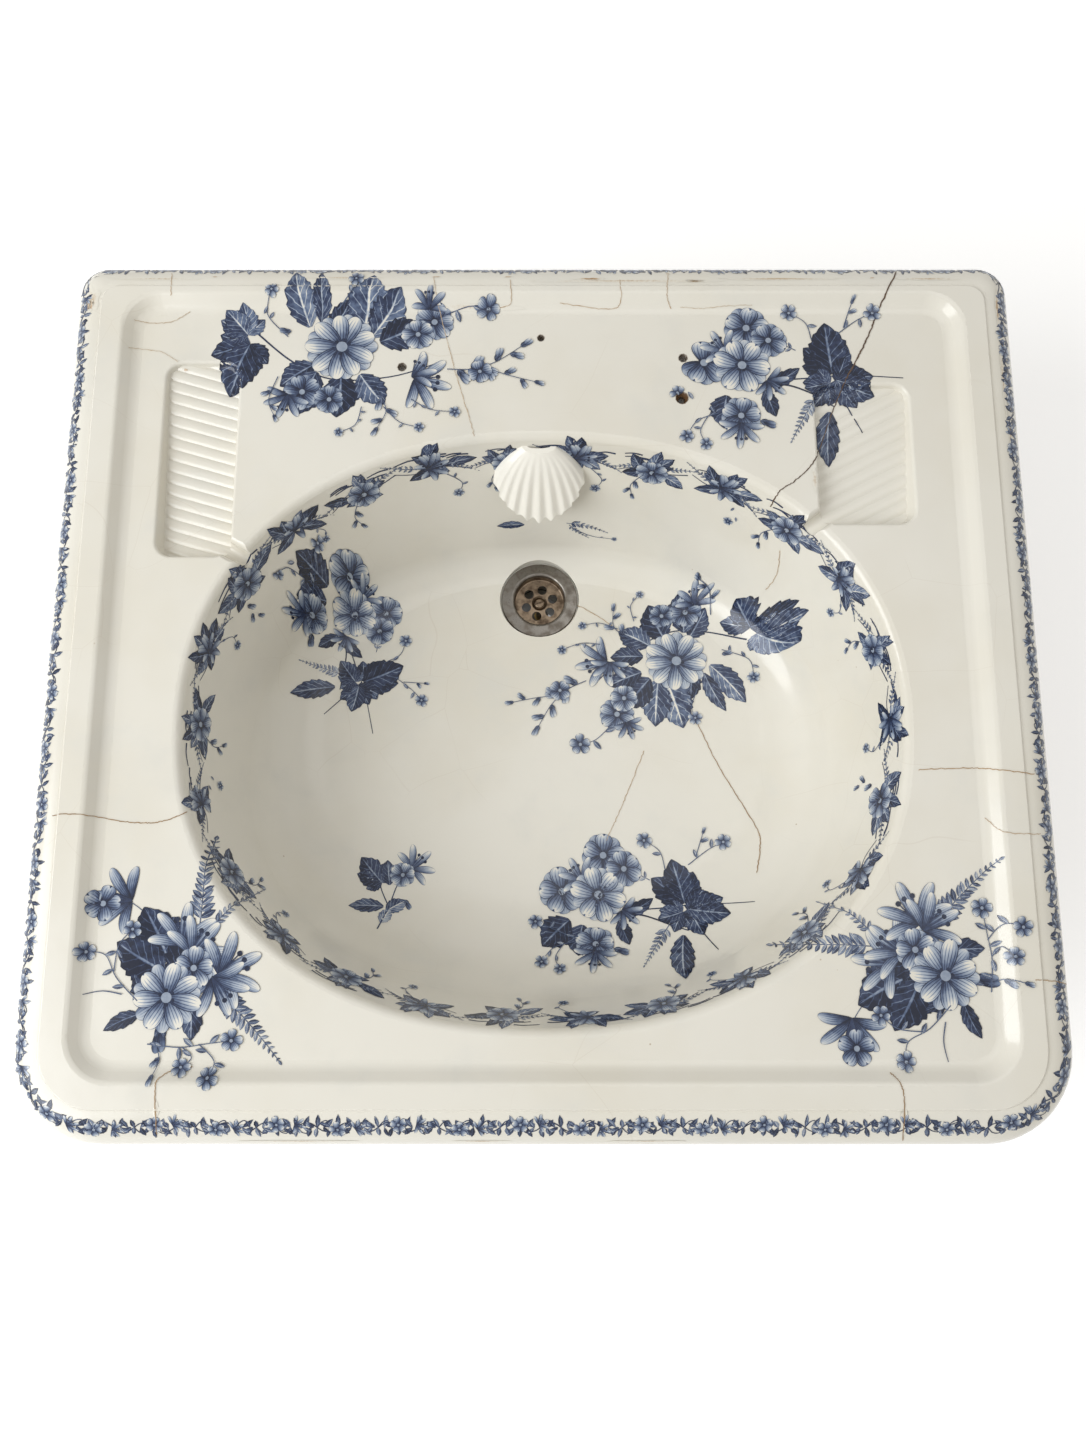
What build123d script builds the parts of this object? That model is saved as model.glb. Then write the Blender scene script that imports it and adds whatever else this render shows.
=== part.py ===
"""Antique washstand basin: a pressed earthenware table top with an oval bowl, two soap
trays, a shell-shaped overflow cover and a screw-down strainer waste.

Millimetres. +X is to the user's right, +Y to the wall, +Z up. The origin is the centre of
the ring on which the edge of the slab sits on its stand.
"""

from build123d import *
import math
import os

# Slab: outline and rolled edge
SLAB_WIDTH = 700.0
SLAB_DEPTH = 630.0
EDGE_HEIGHT = 45.0
FRONT_CORNER_RADIUS = 63.0
ROLL_RADIUS = 23.0
BACK_CORNER_EXTRA = 2.0
BACK_CREASE_RADIUS = 12.5
ROLL_STEP = 1.5
ROLL_STEP_ROUND = 1.0
CREASE_GAP = 1.0
APRON_WALL = 17.0
APRON_INNER_ROUND = 9.0

# Slab: flat of the rim, slope and sunk deck
RIM_FLAT = 17.0
BACK_RIM_FLAT = 6.0
RIM_SLOPE_RUN = 9.5
DECK_DROP = 8.0
RECESS_FRONT_RADIUS = 30.0
RECESS_BACK_RADIUS = 27.0
RIM_TOP_ROUND = 5.0
DECK_EDGE_ROUND = 11.0
PLATE_THICKNESS = 16.0
COLLAR_DEPTH = 12.0
MERGE = 4.5

# Land left between the edge of the slab and the oval of the bowl
SIDE_LAND = 99.0
FRONT_LAND = 72.5
BACK_LAND = 140.5

# Bowl: a full oval that narrows evenly to a floor falling to the drain
BOWL_HALF_WIDTH = SLAB_WIDTH / 2 - SIDE_LAND
BOWL_HALF_DEPTH = (SLAB_DEPTH - FRONT_LAND - BACK_LAND) / 2
BOWL_CENTRE_Y = (FRONT_LAND - BACK_LAND) / 2
BOWL_FULLNESS = 2.2
BOWL_WALL_LEAN = 18.0
BOWL_WALL = 14.0
BOWL_DEPTH = 137.0
FLOOR_RISE = 21.0
BACK_FLOOR_ROUND = 28.0
FRONT_FLOOR_ROUND = 90.0
LIP_ROUND = 6.5

# Drain: ceramic seat and boss under the floor
DRAIN_X = -3.0
DRAIN_TO_BACK = 80.5
DRAIN_Y = BOWL_CENTRE_Y + BOWL_HALF_DEPTH - DRAIN_TO_BACK
SEAT_SINK = 3.0
SEAT_CLEARANCE = 1.5
OUTLET_RADIUS = 23.5
BOSS_WALL = 13.0
BOSS_LENGTH = 26.0

# Soap trays: set in from the slab's sides and behind the oval of the bowl, with floors
# that fall to the front and drain into the bowl
LEFT_TRAY_LAND = 73.5
LEFT_TRAY_WIDTH = 54.0
LEFT_TRAY_LENGTH = 150.0
LEFT_TRAY_GAP = 9.6
LEFT_TRAY_RIB_ANGLE = -16.0
LEFT_TRAY_RIB_HEIGHT = 1.2
RIGHT_TRAY_LAND = 82.5
RIGHT_TRAY_WIDTH = 69.0
RIGHT_TRAY_LENGTH = 108.0
RIGHT_TRAY_GAP = 3.6
RIGHT_TRAY_RIB_ANGLE = 27.0
RIGHT_TRAY_RIB_HEIGHT = 0.85
TRAY_CORNER = 12.0
TRAY_BACK_DEPTH = 5.0
TRAY_FRONT_DEPTH = 13.0
TRAY_DRAFT = 14.0
TRAY_FLOOR_ROUND = 1.5
TRAY_EDGE_ROUND = 2.5
TRAY_PAN = 11.0
TRAY_PAN_MARGIN = 9.0
RIB_PITCH = 8.4
RIB_LIFT = 0.1
RIB_ROOT = 2.0
CHANNEL_RADIUS = 5.5
CHANNEL_SHOULDER = 5.4
CHANNEL_RISE = 0.5
CHANNEL_LENGTH = 30.0
CHANNEL_FALL = 4.0
CHANNEL_LIFT = 2.0

# Fixing holes drilled through the deck behind the bowl, each by its place from the
# middle of the slab's back edge
OUTER_HOLE_RADIUS = 3.2
INNER_HOLE_RADIUS = 2.6
SINK_RADIUS = 4.6
SINK_DEPTH = 3.0
OUTER_HOLES = [(-103.7, -85.5), (103.2, -78.3)]
INNER_HOLES = [(-1.5, -62.2), (101.7, -110.2)]
SUNK_HOLE = INNER_HOLES[1]

# Shell: fluted cover over the overflow ports
SHELL_TOP_GAP = 9.0
SHELL_HEIGHT = 50.0
SHELL_HALF_WIDTH = 35.5
SHOULDER_DROP = 16.0
HINGE_HALF_WIDTH = 12.5
SHELL_BULGE = 22.0
HINGE_BULGE = 6.0
SHELL_WALL = 4.0
FLUTES = 13
FLUTE_DEPTH = 1.9
LIP_WAVE = 1.3

# Shell: how it swells from its hinge, by level, where 0 is the hinge and 1 the lip
SHELL_LEVELS = (0.0, 0.3, 0.62, 1.12)
FAN_REACH = 1.3
FAN_POWER = 0.62
BULGE_POWER = 0.7
BOW_POWER = 0.8
FULL_FLUTE_LEVEL = 0.625

# Overflow: ports behind the shell and the passage down to the boss
PORT_RADIUS = 4.5
PORT_SPACING = 14.0
PORT_COVER = 1.0
DUCT_WIDTH = 66.0
DUCT_DEPTH = 24.0
DUCT_WALL = 7.0
DUCT_ROUND = 6.0
BOSS_PORT_RADIUS = 7.0

# Waste: pressed strainer, seals, body with its threaded tail
FLANGE_RADIUS = 31.5
FLANGE_CROWN = 2.6
CUP_RADIUS = 20.8
CUP_DEPTH = 10.0
SHEET = 1.2
STRAINER_HOLES = 6
STRAINER_HOLE_RADIUS = 3.9
STRAINER_HOLE_CIRCLE = 11.6
STRAINER_TURN = 18.6
SEAL_THICKNESS = 1.5
LOWER_SEAL_THICKNESS = 3.0
SEAL_WIDTH = 7.0
BODY_FLANGE = 5.0
TAIL_RADIUS = 20.95
TAIL_LENGTH = 42.0
TAIL_WALL = 3.5
SPIDER_ARMS = 3
SPIDER_ARM = 4.0
SPIDER_HEIGHT = 9.0
HUB_RADIUS = 7.5
HUB_LENGTH = 17.0
INSERT_WALL = 1.6
INSERT_LENGTH = 12.0
SCREW_RADIUS = 3.0
SCREW_CLEARANCE = 0.2
SCREW_HEAD_RADIUS = 4.1
SCREW_HEAD_HEIGHT = 2.2
SCREW_HEAD_ROUND = 1.1
SCREW_SLOT = 1.2
SCREW_SLOT_DEPTH = 1.1

# Points on an oval slice, and slices of the round between wall and floor
OVAL_POINTS = 32
FLOOR_ROUND_STEPS = (0.0, 0.1, 0.3, 0.5, 0.75, 1.0)

# Allowances for cutting tools that must pass a face
PASS = 5.0
LEVEL = 0.02

# Heights that follow from the sizes above
DECK_Z = EDGE_HEIGHT - DECK_DROP
UNDER_Z = DECK_Z - PLATE_THICKNESS
SEAM_Z = UNDER_Z - COLLAR_DEPTH
BACK_FLOOR_Z = DECK_Z - BOWL_DEPTH
FRONT_FLOOR_Z = BACK_FLOOR_Z + FLOOR_RISE
PORT_Z = SEAM_Z - DUCT_WALL - PORT_COVER - PORT_RADIUS
SEAT_Z = BACK_FLOOR_Z - SEAT_SINK
BOSS_Z = SEAT_Z - BOWL_WALL - BOSS_LENGTH
FLANGE_Z = SEAT_Z + SEAL_THICKNESS
PLATE_TOP_Z = FLANGE_Z + FLANGE_CROWN - CUP_DEPTH
BODY_Z = BOSS_Z - LOWER_SEAL_THICKNESS
TAIL_Z = BODY_Z - BODY_FLANGE - TAIL_LENGTH
CREASE = ROLL_RADIUS + CREASE_GAP
BOSS_RADIUS = OUTLET_RADIUS + BOSS_WALL
SHELL_TOP_Z = DECK_Z - SHELL_TOP_GAP
LEAN = math.tan(math.radians(BOWL_WALL_LEAN))


def edges_at(solid, height):
    """Edges of a solid that lie level at one height."""

    def is_level(edge):
        box = edge.bounding_box()
        return abs(box.min.Z - height) < LEVEL and abs(box.max.Z - height) < LEVEL

    return solid.edges().filter_by(is_level)


def plan(inset, back_inset, front_radius, back_radius):
    """Outline of the table top, drawn in from its sides and front, and from its back."""
    depth = SLAB_DEPTH - inset - back_inset
    sheet = Pos(0, (inset - back_inset) / 2) * Rectangle(SLAB_WIDTH - 2 * inset, depth)
    sheet = fillet(sheet.vertices().sort_by(Axis.Y)[:2], front_radius)
    return fillet(sheet.vertices().sort_by(Axis.Y)[-2:], back_radius)


def bowl_profile(edge, floor, radius, grow, turn):
    """Distance from the bowl's centre and height of a point on the round between wall and floor."""
    lean = math.radians(BOWL_WALL_LEAN)
    tangent_z = floor + radius * (1 - math.sin(lean)) - grow * math.sin(lean)
    wall = edge + grow / math.cos(lean) - (DECK_Z - tangent_z) * LEAN
    centre = wall - (radius + grow) * math.cos(lean)
    return centre + (radius + grow) * math.cos(turn), floor + radius - (radius + grow) * math.sin(turn)


def bowl_slice(side, front, back):
    """Plane full oval through a side distance and a front and a back point of the bowl."""
    power = 2 / BOWL_FULLNESS
    half_depth = (front[0] + back[0]) / 2
    middle_y = BOWL_CENTRE_Y + (back[0] - front[0]) / 2
    middle_z = (front[1] + back[1]) / 2
    points = []
    for step in range(OVAL_POINTS):
        angle = 2 * math.pi * step / OVAL_POINTS
        across = math.copysign(abs(math.cos(angle)) ** power, math.cos(angle))
        along = math.copysign(abs(math.sin(angle)) ** power, math.sin(angle))
        height = middle_z + along * (back[1] - front[1]) / 2
        points.append((across * side, middle_y + along * half_depth, height))
    return make_face(Spline(*points, periodic=True))


def bowl_base(grow):
    """Lower form of the bowl: the floor and its round, inside or grown by the wall."""
    side_floor = (BACK_FLOOR_Z + FRONT_FLOOR_Z) / 2
    side_round = (BACK_FLOOR_ROUND + FRONT_FLOOR_ROUND) / 2
    slices = []
    for share in FLOOR_ROUND_STEPS:
        turn = math.radians(90 - share * (90 - BOWL_WALL_LEAN))
        side = bowl_profile(BOWL_HALF_WIDTH, side_floor, side_round, grow, turn)[0]
        front = bowl_profile(BOWL_HALF_DEPTH, FRONT_FLOOR_Z, FRONT_FLOOR_ROUND, grow, turn)
        back = bowl_profile(BOWL_HALF_DEPTH, BACK_FLOOR_Z, BACK_FLOOR_ROUND, grow, turn)
        slices.append(bowl_slice(side, front, back))
    return loft(slices), slices[-1]


def bowl_forms(grow):
    """Base and wall of the bowl's form, inside or grown outward by the wall."""
    base, top_of_round = bowl_base(grow)
    height = EDGE_HEIGHT + PASS
    shift = grow / math.cos(math.radians(BOWL_WALL_LEAN)) + (height - DECK_Z) * LEAN
    end = (BOWL_HALF_DEPTH + shift, height)
    wall = loft([top_of_round, bowl_slice(BOWL_HALF_WIDTH + shift, end, end)], ruled=True)
    return base, wall


def wall_y(height, grow=0.0):
    """Back wall of the bowl on its centre line, inside or grown to the outside."""
    shift = grow / math.cos(math.radians(BOWL_WALL_LEAN)) - (DECK_Z - height) * LEAN
    return BOWL_CENTRE_Y + BOWL_HALF_DEPTH + shift


def tray_floor(x, y, length):
    """Plane of a tray's floor, which falls to the front."""
    tilt = math.atan2(TRAY_FRONT_DEPTH - TRAY_BACK_DEPTH, length)
    middle = DECK_Z - (TRAY_BACK_DEPTH + TRAY_FRONT_DEPTH) / 2
    return Plane(origin=(x, y, middle), x_dir=(1, 0, 0), z_dir=(0, -math.sin(tilt), math.cos(tilt)))


def tray_hollow(x, y, width, length):
    """Space of one soap tray above its floor."""
    floor = tray_floor(x, y, length)
    outline = Pos(x, y, DECK_Z) * RectangleRounded(width, length, TRAY_CORNER)
    space = extrude(outline, -TRAY_FRONT_DEPTH - PASS, taper=TRAY_DRAFT) + extrude(outline, PASS)
    space = split(space, bisect_by=floor, keep=Keep.TOP)

    def on_floor(edge):
        return abs(floor.to_local_coords(edge @ 0.5).Z) < LEVEL

    return fillet(space.edges().filter_by(on_floor), TRAY_FLOOR_ROUND)


def tray_ribs(x, y, width, length, rib_angle, rib_height):
    """Reeded bed of a tray: one waved plank that dies into the tray's walls."""
    turn = math.radians(rib_angle)
    reach = (length * math.cos(turn) + width * abs(math.sin(turn))) / 2
    count = math.ceil(2 * reach / RIB_PITCH)
    start = -count * RIB_PITCH / 2
    waves = []
    for index in range(count):
        low = start + index * RIB_PITCH
        waves.append(ThreePointArc((low, 0), (low + RIB_PITCH / 2, rib_height), (low + RIB_PITCH, 0)))
    root = Polyline((-start, 0), (-start, -RIB_ROOT), (start, -RIB_ROOT), (start, 0))
    across = Plane(origin=(0, 0, RIB_LIFT), x_dir=(-math.sin(turn), math.cos(turn), 0),
                   z_dir=(math.cos(turn), math.sin(turn), 0))
    plank = tray_floor(x, y, length).location * extrude(across * make_face([*waves, root]), width, both=True)
    bed = extrude(Pos(x, y, DECK_Z) * RectangleRounded(width, length, TRAY_CORNER), -TRAY_FRONT_DEPTH - PASS)
    return plank & bed


def tray_pan(x, y, width, length):
    """Thickening of the plate under a tray."""
    outline = RectangleRounded(width + 2 * TRAY_PAN_MARGIN, length + 2 * TRAY_PAN_MARGIN, TRAY_CORNER)
    bottom = DECK_Z - TRAY_FRONT_DEPTH - TRAY_PAN
    return extrude(Pos(x, y, bottom) * outline, UNDER_Z - bottom + MERGE)


def channel_section(depth):
    """Section of a channel below the deck: a round bottom and soft shoulders."""
    reach = CHANNEL_RADIUS + CHANNEL_SHOULDER
    corners = [
        (-reach, PASS, 0),
        (-reach, 0, 0),
        (-CHANNEL_RADIUS, 0, CHANNEL_SHOULDER),
        (-CHANNEL_RADIUS, -depth, CHANNEL_RADIUS),
        (CHANNEL_RADIUS, -depth, CHANNEL_RADIUS),
        (CHANNEL_RADIUS, 0, CHANNEL_SHOULDER),
        (reach, 0, 0),
        (reach, PASS, 0),
    ]
    sheet = make_face(Polyline(*[corner[:2] for corner in corners], close=True))
    for x, y, radius in corners:
        if radius:
            spot = sheet.vertices().sort_by_distance((x, y, 0))[0]
            sheet = fillet(spot, radius - LEVEL)
    return sheet


def tray_channel(x, y, width, length):
    """Groove that leads from a tray's front inner corner down into the bowl."""
    inner = math.copysign(1, -x)
    corner = Vector(x + inner * (width / 2 - TRAY_CORNER), y - length / 2 + TRAY_CORNER)
    run = (Vector(0, BOWL_CENTRE_Y) - corner).normalized()
    depth = TRAY_FRONT_DEPTH - CHANNEL_LIFT + CHANNEL_RISE
    start = Vector(corner.X, corner.Y, DECK_Z + CHANNEL_RISE)
    end = start + run * (CHANNEL_LENGTH + TRAY_CORNER)
    side = Vector(0, 0, 1).cross(run)
    first = Plane(origin=start, x_dir=side, z_dir=run) * channel_section(depth)
    last = Plane(origin=end, x_dir=side, z_dir=run) * channel_section(depth + CHANNEL_FALL)
    return loft([first, last], ruled=True)


def tray_place(side, land, width, length, gap):
    """Centre of a tray on one side, whose inner front corner stands just behind the bowl."""
    outer = SLAB_WIDTH / 2 - land
    share = 1 - ((outer - width) / BOWL_HALF_WIDTH) ** BOWL_FULLNESS
    oval_y = BOWL_CENTRE_Y + BOWL_HALF_DEPTH * share ** (1 / BOWL_FULLNESS)
    return side * (outer - width / 2), oval_y + gap + length / 2


TRAYS = [
    (
        *tray_place(-1, LEFT_TRAY_LAND, LEFT_TRAY_WIDTH, LEFT_TRAY_LENGTH, LEFT_TRAY_GAP),
        LEFT_TRAY_WIDTH,
        LEFT_TRAY_LENGTH,
        LEFT_TRAY_RIB_ANGLE,
        LEFT_TRAY_RIB_HEIGHT,
    ),
    (
        *tray_place(1, RIGHT_TRAY_LAND, RIGHT_TRAY_WIDTH, RIGHT_TRAY_LENGTH, RIGHT_TRAY_GAP),
        RIGHT_TRAY_WIDTH,
        RIGHT_TRAY_LENGTH,
        RIGHT_TRAY_RIB_ANGLE,
        RIGHT_TRAY_RIB_HEIGHT,
    ),
]


def make_slab(inner_wall, outer_wall):
    """Table top: rolled edge, rim, sunk deck, trays, collar and fixing holes."""
    shoulder = EDGE_HEIGHT - ROLL_STEP
    back_radius = ROLL_RADIUS + BACK_CORNER_EXTRA
    slab = extrude(plan(0, 0, FRONT_CORNER_RADIUS, back_radius), shoulder)
    slab = fillet(edges_at(slab, shoulder), ROLL_RADIUS)

    crease_radius = FRONT_CORNER_RADIUS - CREASE
    rim = extrude(plan(CREASE, CREASE, crease_radius, BACK_CREASE_RADIUS), 2 * ROLL_STEP)
    rim = Pos(0, 0, shoulder - ROLL_STEP) * rim
    slab += fillet(edges_at(rim, EDGE_HEIGHT), ROLL_STEP_ROUND)

    side, back = CREASE + RIM_FLAT, CREASE + BACK_RIM_FLAT
    mouth = plan(side, back, RECESS_FRONT_RADIUS, RECESS_BACK_RADIUS)
    bed = plan(side + RIM_SLOPE_RUN, back + RIM_SLOPE_RUN, RECESS_FRONT_RADIUS - RIM_SLOPE_RUN,
               RECESS_BACK_RADIUS - RIM_SLOPE_RUN)
    slab -= loft([Pos(0, 0, DECK_Z) * bed, Pos(0, 0, EDGE_HEIGHT) * mouth], ruled=True)
    slab = fillet(edges_at(slab, DECK_Z), DECK_EDGE_ROUND)
    half_mouth = SLAB_WIDTH / 2 - side + LEVEL

    def on_mouth(edge):
        middle = edge @ 0.5
        low, high = side - SLAB_DEPTH / 2 - LEVEL, SLAB_DEPTH / 2 - back + LEVEL
        return abs(middle.X) < half_mouth and low < middle.Y < high

    slab = fillet(edges_at(slab, EDGE_HEIGHT).filter_by(on_mouth), RIM_TOP_ROUND)

    apron_radius = FRONT_CORNER_RADIUS - APRON_WALL
    pocket = extrude(plan(APRON_WALL, APRON_WALL, apron_radius, BACK_CREASE_RADIUS), UNDER_Z)
    slab -= fillet(edges_at(pocket, UNDER_Z), APRON_INNER_ROUND)
    collar = split(outer_wall, bisect_by=Plane.XY.offset(UNDER_Z + MERGE), keep=Keep.BOTTOM)
    slab += split(collar, bisect_by=Plane.XY.offset(SEAM_Z), keep=Keep.TOP)
    for x, y, width, length, *_ in TRAYS:
        slab += tray_pan(x, y, width, length)
    slab -= inner_wall

    def on_lip(edge):
        middle = edge @ 0.5
        half_width, half_depth = BOWL_HALF_WIDTH + PASS, BOWL_HALF_DEPTH + PASS
        return abs(middle.X) < half_width and abs(middle.Y - BOWL_CENTRE_Y) < half_depth

    slab = fillet(edges_at(slab, DECK_Z).filter_by(on_lip), LIP_ROUND)
    for x, y, width, length, rib_angle, rib_height in TRAYS:
        slab -= tray_hollow(x, y, width, length)

        def on_tray(edge):
            middle = edge @ 0.5
            return abs(middle.X - x) < width / 2 + LEVEL and abs(middle.Y - y) < length / 2 + LEVEL

        slab = fillet(edges_at(slab, DECK_Z).filter_by(on_tray), TRAY_EDGE_ROUND)
        slab += tray_ribs(x, y, width, length, rib_angle, rib_height)
        slab -= tray_channel(x, y, width, length)

    drill = PLATE_THICKNESS + 2 * PASS
    back_edge = Pos(0, SLAB_DEPTH / 2, DECK_Z - PLATE_THICKNESS / 2)
    for hole in OUTER_HOLES:
        slab -= back_edge * Pos(*hole) * Cylinder(OUTER_HOLE_RADIUS, drill)
    for hole in INNER_HOLES:
        slab -= back_edge * Pos(*hole) * Cylinder(INNER_HOLE_RADIUS, drill)
    sink = Pos(0, 0, (PLATE_THICKNESS - SINK_DEPTH) / 2) * Cone(INNER_HOLE_RADIUS, SINK_RADIUS, SINK_DEPTH)
    return slab - back_edge * Pos(*SUNK_HOLE) * sink


def drain(solid):
    """Places a solid drawn on its own axis on the axis of the drain."""
    return Pos(DRAIN_X, DRAIN_Y, 0) * solid


def tube(outer_radius, inner_radius, low, high):
    """A plain ring between two heights."""
    ring = Circle(outer_radius) - Circle(inner_radius)
    return extrude(Pos(0, 0, low) * ring, high - low)


def rod(radius, low, high):
    """A plain cylinder between two heights."""
    return extrude(Pos(0, 0, low) * Circle(radius), high - low)


def make_bowl(inner_base, inner_wall, outer_base, outer_wall):
    """Oval bowl below the collar, with the outlet boss and the overflow ports."""
    bowl = split(outer_wall, bisect_by=Plane.XY.offset(SEAM_Z), keep=Keep.BOTTOM)
    bowl += outer_base
    bowl += drain(rod(BOSS_RADIUS, BOSS_Z, SEAT_Z))
    bowl -= inner_wall
    bowl -= inner_base
    bowl -= drain(rod(FLANGE_RADIUS + SEAT_CLEARANCE, SEAT_Z, FRONT_FLOOR_Z))
    bowl -= drain(rod(OUTLET_RADIUS, BOSS_Z - PASS, SEAT_Z + PASS))
    for offset in (-PORT_SPACING, 0, PORT_SPACING):
        port = Rot(90, 0, 0) * Cylinder(PORT_RADIUS, 2 * (BOWL_WALL + PASS))
        bowl -= Pos(DRAIN_X + offset, wall_y(PORT_Z), PORT_Z) * port
    side_port = Rot(90, 0, 0) * Cylinder(BOSS_PORT_RADIUS, BOSS_RADIUS)
    bowl -= Pos(DRAIN_X, DRAIN_Y + BOSS_RADIUS, port_height()) * side_port
    return bowl


def port_height():
    """Height at which the overflow passage enters the boss."""
    return BOSS_Z + DUCT_WALL + BOSS_PORT_RADIUS


def make_duct(outer_base, outer_wall):
    """Overflow passage: a trough luted to the back of the bowl and the boss."""

    def trough(wall):
        outline = Polyline(
            (DRAIN_Y, SEAM_Z - wall),
            (wall_y(SEAM_Z, BOWL_WALL) + DUCT_DEPTH - wall, SEAM_Z - wall),
            (wall_y(BACK_FLOOR_Z, BOWL_WALL) + DUCT_DEPTH - wall, BACK_FLOOR_Z),
            (DRAIN_Y + BOSS_RADIUS + DUCT_WALL - wall, BOSS_Z + wall),
            (DRAIN_Y, BOSS_Z + wall),
            close=True,
        )
        width = DUCT_WIDTH - 2 * wall
        return extrude(Plane.YZ.offset(DRAIN_X - width / 2) * make_face(outline), width)

    def on_back(edge):
        return (edge @ 0.5).Y > DRAIN_Y + BOSS_RADIUS

    block = trough(0)
    duct = fillet(block.edges().filter_by(on_back), DUCT_ROUND) - trough(DUCT_WALL)
    duct -= outer_wall
    duct -= outer_base
    duct -= drain(rod(BOSS_RADIUS, BOSS_Z - PASS, SEAT_Z))
    return duct


def shell_section(height, half_width, bulge, flute, back):
    """Level section of the shell: a fluted bow closed by a straight line in the wall."""
    points = []
    for step in range(2 * FLUTES + 1):
        turn = math.pi * step / (2 * FLUTES)
        wave = flute if step % 2 else -flute
        x = DRAIN_X + math.cos(turn) * half_width
        bow_out = abs(math.sin(turn))
        y = wall_y(height) - bow_out ** BOW_POWER * bulge - wave * bow_out
        points.append((x, y, height))
    bow = Spline(*points)
    ends = Polyline(points[-1], (points[-1][0], back, height), (points[0][0], back, height), points[0])
    return make_face([bow, ends])


def shell_form(wall, flute):
    """The shell as a body that fans out from its hinge, drawn in by a wall."""
    back = wall_y(DECK_Z) + PASS
    spread = FAN_REACH * SHELL_HALF_WIDTH - HINGE_HALF_WIDTH
    swell = SHELL_BULGE - HINGE_BULGE
    sections = []
    for level in SHELL_LEVELS:
        height = SHELL_TOP_Z - level * SHELL_HEIGHT
        half_width = HINGE_HALF_WIDTH + spread * level ** FAN_POWER - wall
        bulge = HINGE_BULGE + swell * level ** BULGE_POWER - wall
        wave = flute * min(1, level / FULL_FLUTE_LEVEL)
        sections.append(shell_section(height, half_width, bulge, wave, back))
    return loft(sections[::-1])


def shell_outline():
    """Scallop outline seen from the front: straight shoulders and a waved lower lip."""
    lip = []
    for step in range(2 * FLUTES + 1):
        turn = math.pi * step / (2 * FLUTES)
        wave = LIP_WAVE if step % 2 else -LIP_WAVE
        drop = SHELL_HEIGHT - SHOULDER_DROP + wave
        x = math.cos(turn) * (SHELL_HALF_WIDTH + wave)
        lip.append((x, -SHOULDER_DROP - math.sin(turn) * drop))
    top = Polyline(lip[-1], (-HINGE_HALF_WIDTH, 0), (HINGE_HALF_WIDTH, 0), lip[0])
    return make_face([Spline(*lip), top])


def make_shell(inner_wall):
    """Scallop cover: hollow behind, open at its lower lip, seated on the bowl's wall."""
    face = Plane(origin=(DRAIN_X, 0, SHELL_TOP_Z), x_dir=(1, 0, 0), z_dir=(0, -1, 0)) * shell_outline()
    fan = extrude(face, SLAB_DEPTH, both=True)
    shell = shell_form(0, FLUTE_DEPTH / 2) & fan
    shell &= inner_wall
    return shell - shell_form(SHELL_WALL, 0)


def make_strainer():
    """Pressed strainer: crowned flange, cup and holed plate with a dished centre."""
    crown = FLANGE_Z + FLANGE_CROWN
    plate = PLATE_TOP_Z
    dish = SCREW_HEAD_HEIGHT
    hole = SCREW_RADIUS + SCREW_CLEARANCE
    seat = SCREW_HEAD_RADIUS + SCREW_CLEARANCE
    corners = [
        (FLANGE_RADIUS, FLANGE_Z + SHEET, SHEET / 2),
        (CUP_RADIUS, crown, 2 * SHEET),
        (CUP_RADIUS, plate, SHEET),
        (seat + dish, plate, 0),
        (seat, plate - dish, 0),
        (hole, plate - dish, 0),
        (hole, plate - dish - SHEET, 0),
        (seat, plate - dish - SHEET, 0),
        (seat + dish, plate - SHEET, 0),
        (CUP_RADIUS + SHEET, plate - SHEET, 2 * SHEET),
        (CUP_RADIUS + SHEET, crown - SHEET, SHEET),
        (FLANGE_RADIUS, FLANGE_Z, 0),
    ]
    points = [corner[:2] for corner in corners]
    rounds = [corner[2] for corner in corners]
    profile = make_face(FilletPolyline(*points, radius=rounds, close=True))
    body = revolve(Plane.XZ * profile, Axis.Z)
    drill = Cylinder(STRAINER_HOLE_RADIUS, 2 * PASS)
    for index in range(STRAINER_HOLES):
        turn = STRAINER_TURN + index * 360 / STRAINER_HOLES
        body -= Rot(0, 0, turn) * Pos(STRAINER_HOLE_CIRCLE, 0, plate) * drill
    return drain(body)


def make_flange_seal():
    """Seal between the ceramic seat and the strainer's flange."""
    inner_radius = FLANGE_RADIUS - SEAL_WIDTH
    rise = (FLANGE_CROWN - SHEET) * SEAL_WIDTH / (FLANGE_RADIUS - CUP_RADIUS - SHEET)
    points = [
        (FLANGE_RADIUS, SEAT_Z),
        (FLANGE_RADIUS, FLANGE_Z),
        (inner_radius, FLANGE_Z + rise),
        (inner_radius, SEAT_Z),
    ]
    return drain(revolve(Plane.XZ * make_face(Polyline(*points, close=True)), Axis.Z))


def make_outlet_seal():
    """Seal between the boss and the waste body."""
    return drain(tube(OUTLET_RADIUS + SEAL_WIDTH, OUTLET_RADIUS, BODY_Z, BOSS_Z))


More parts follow.
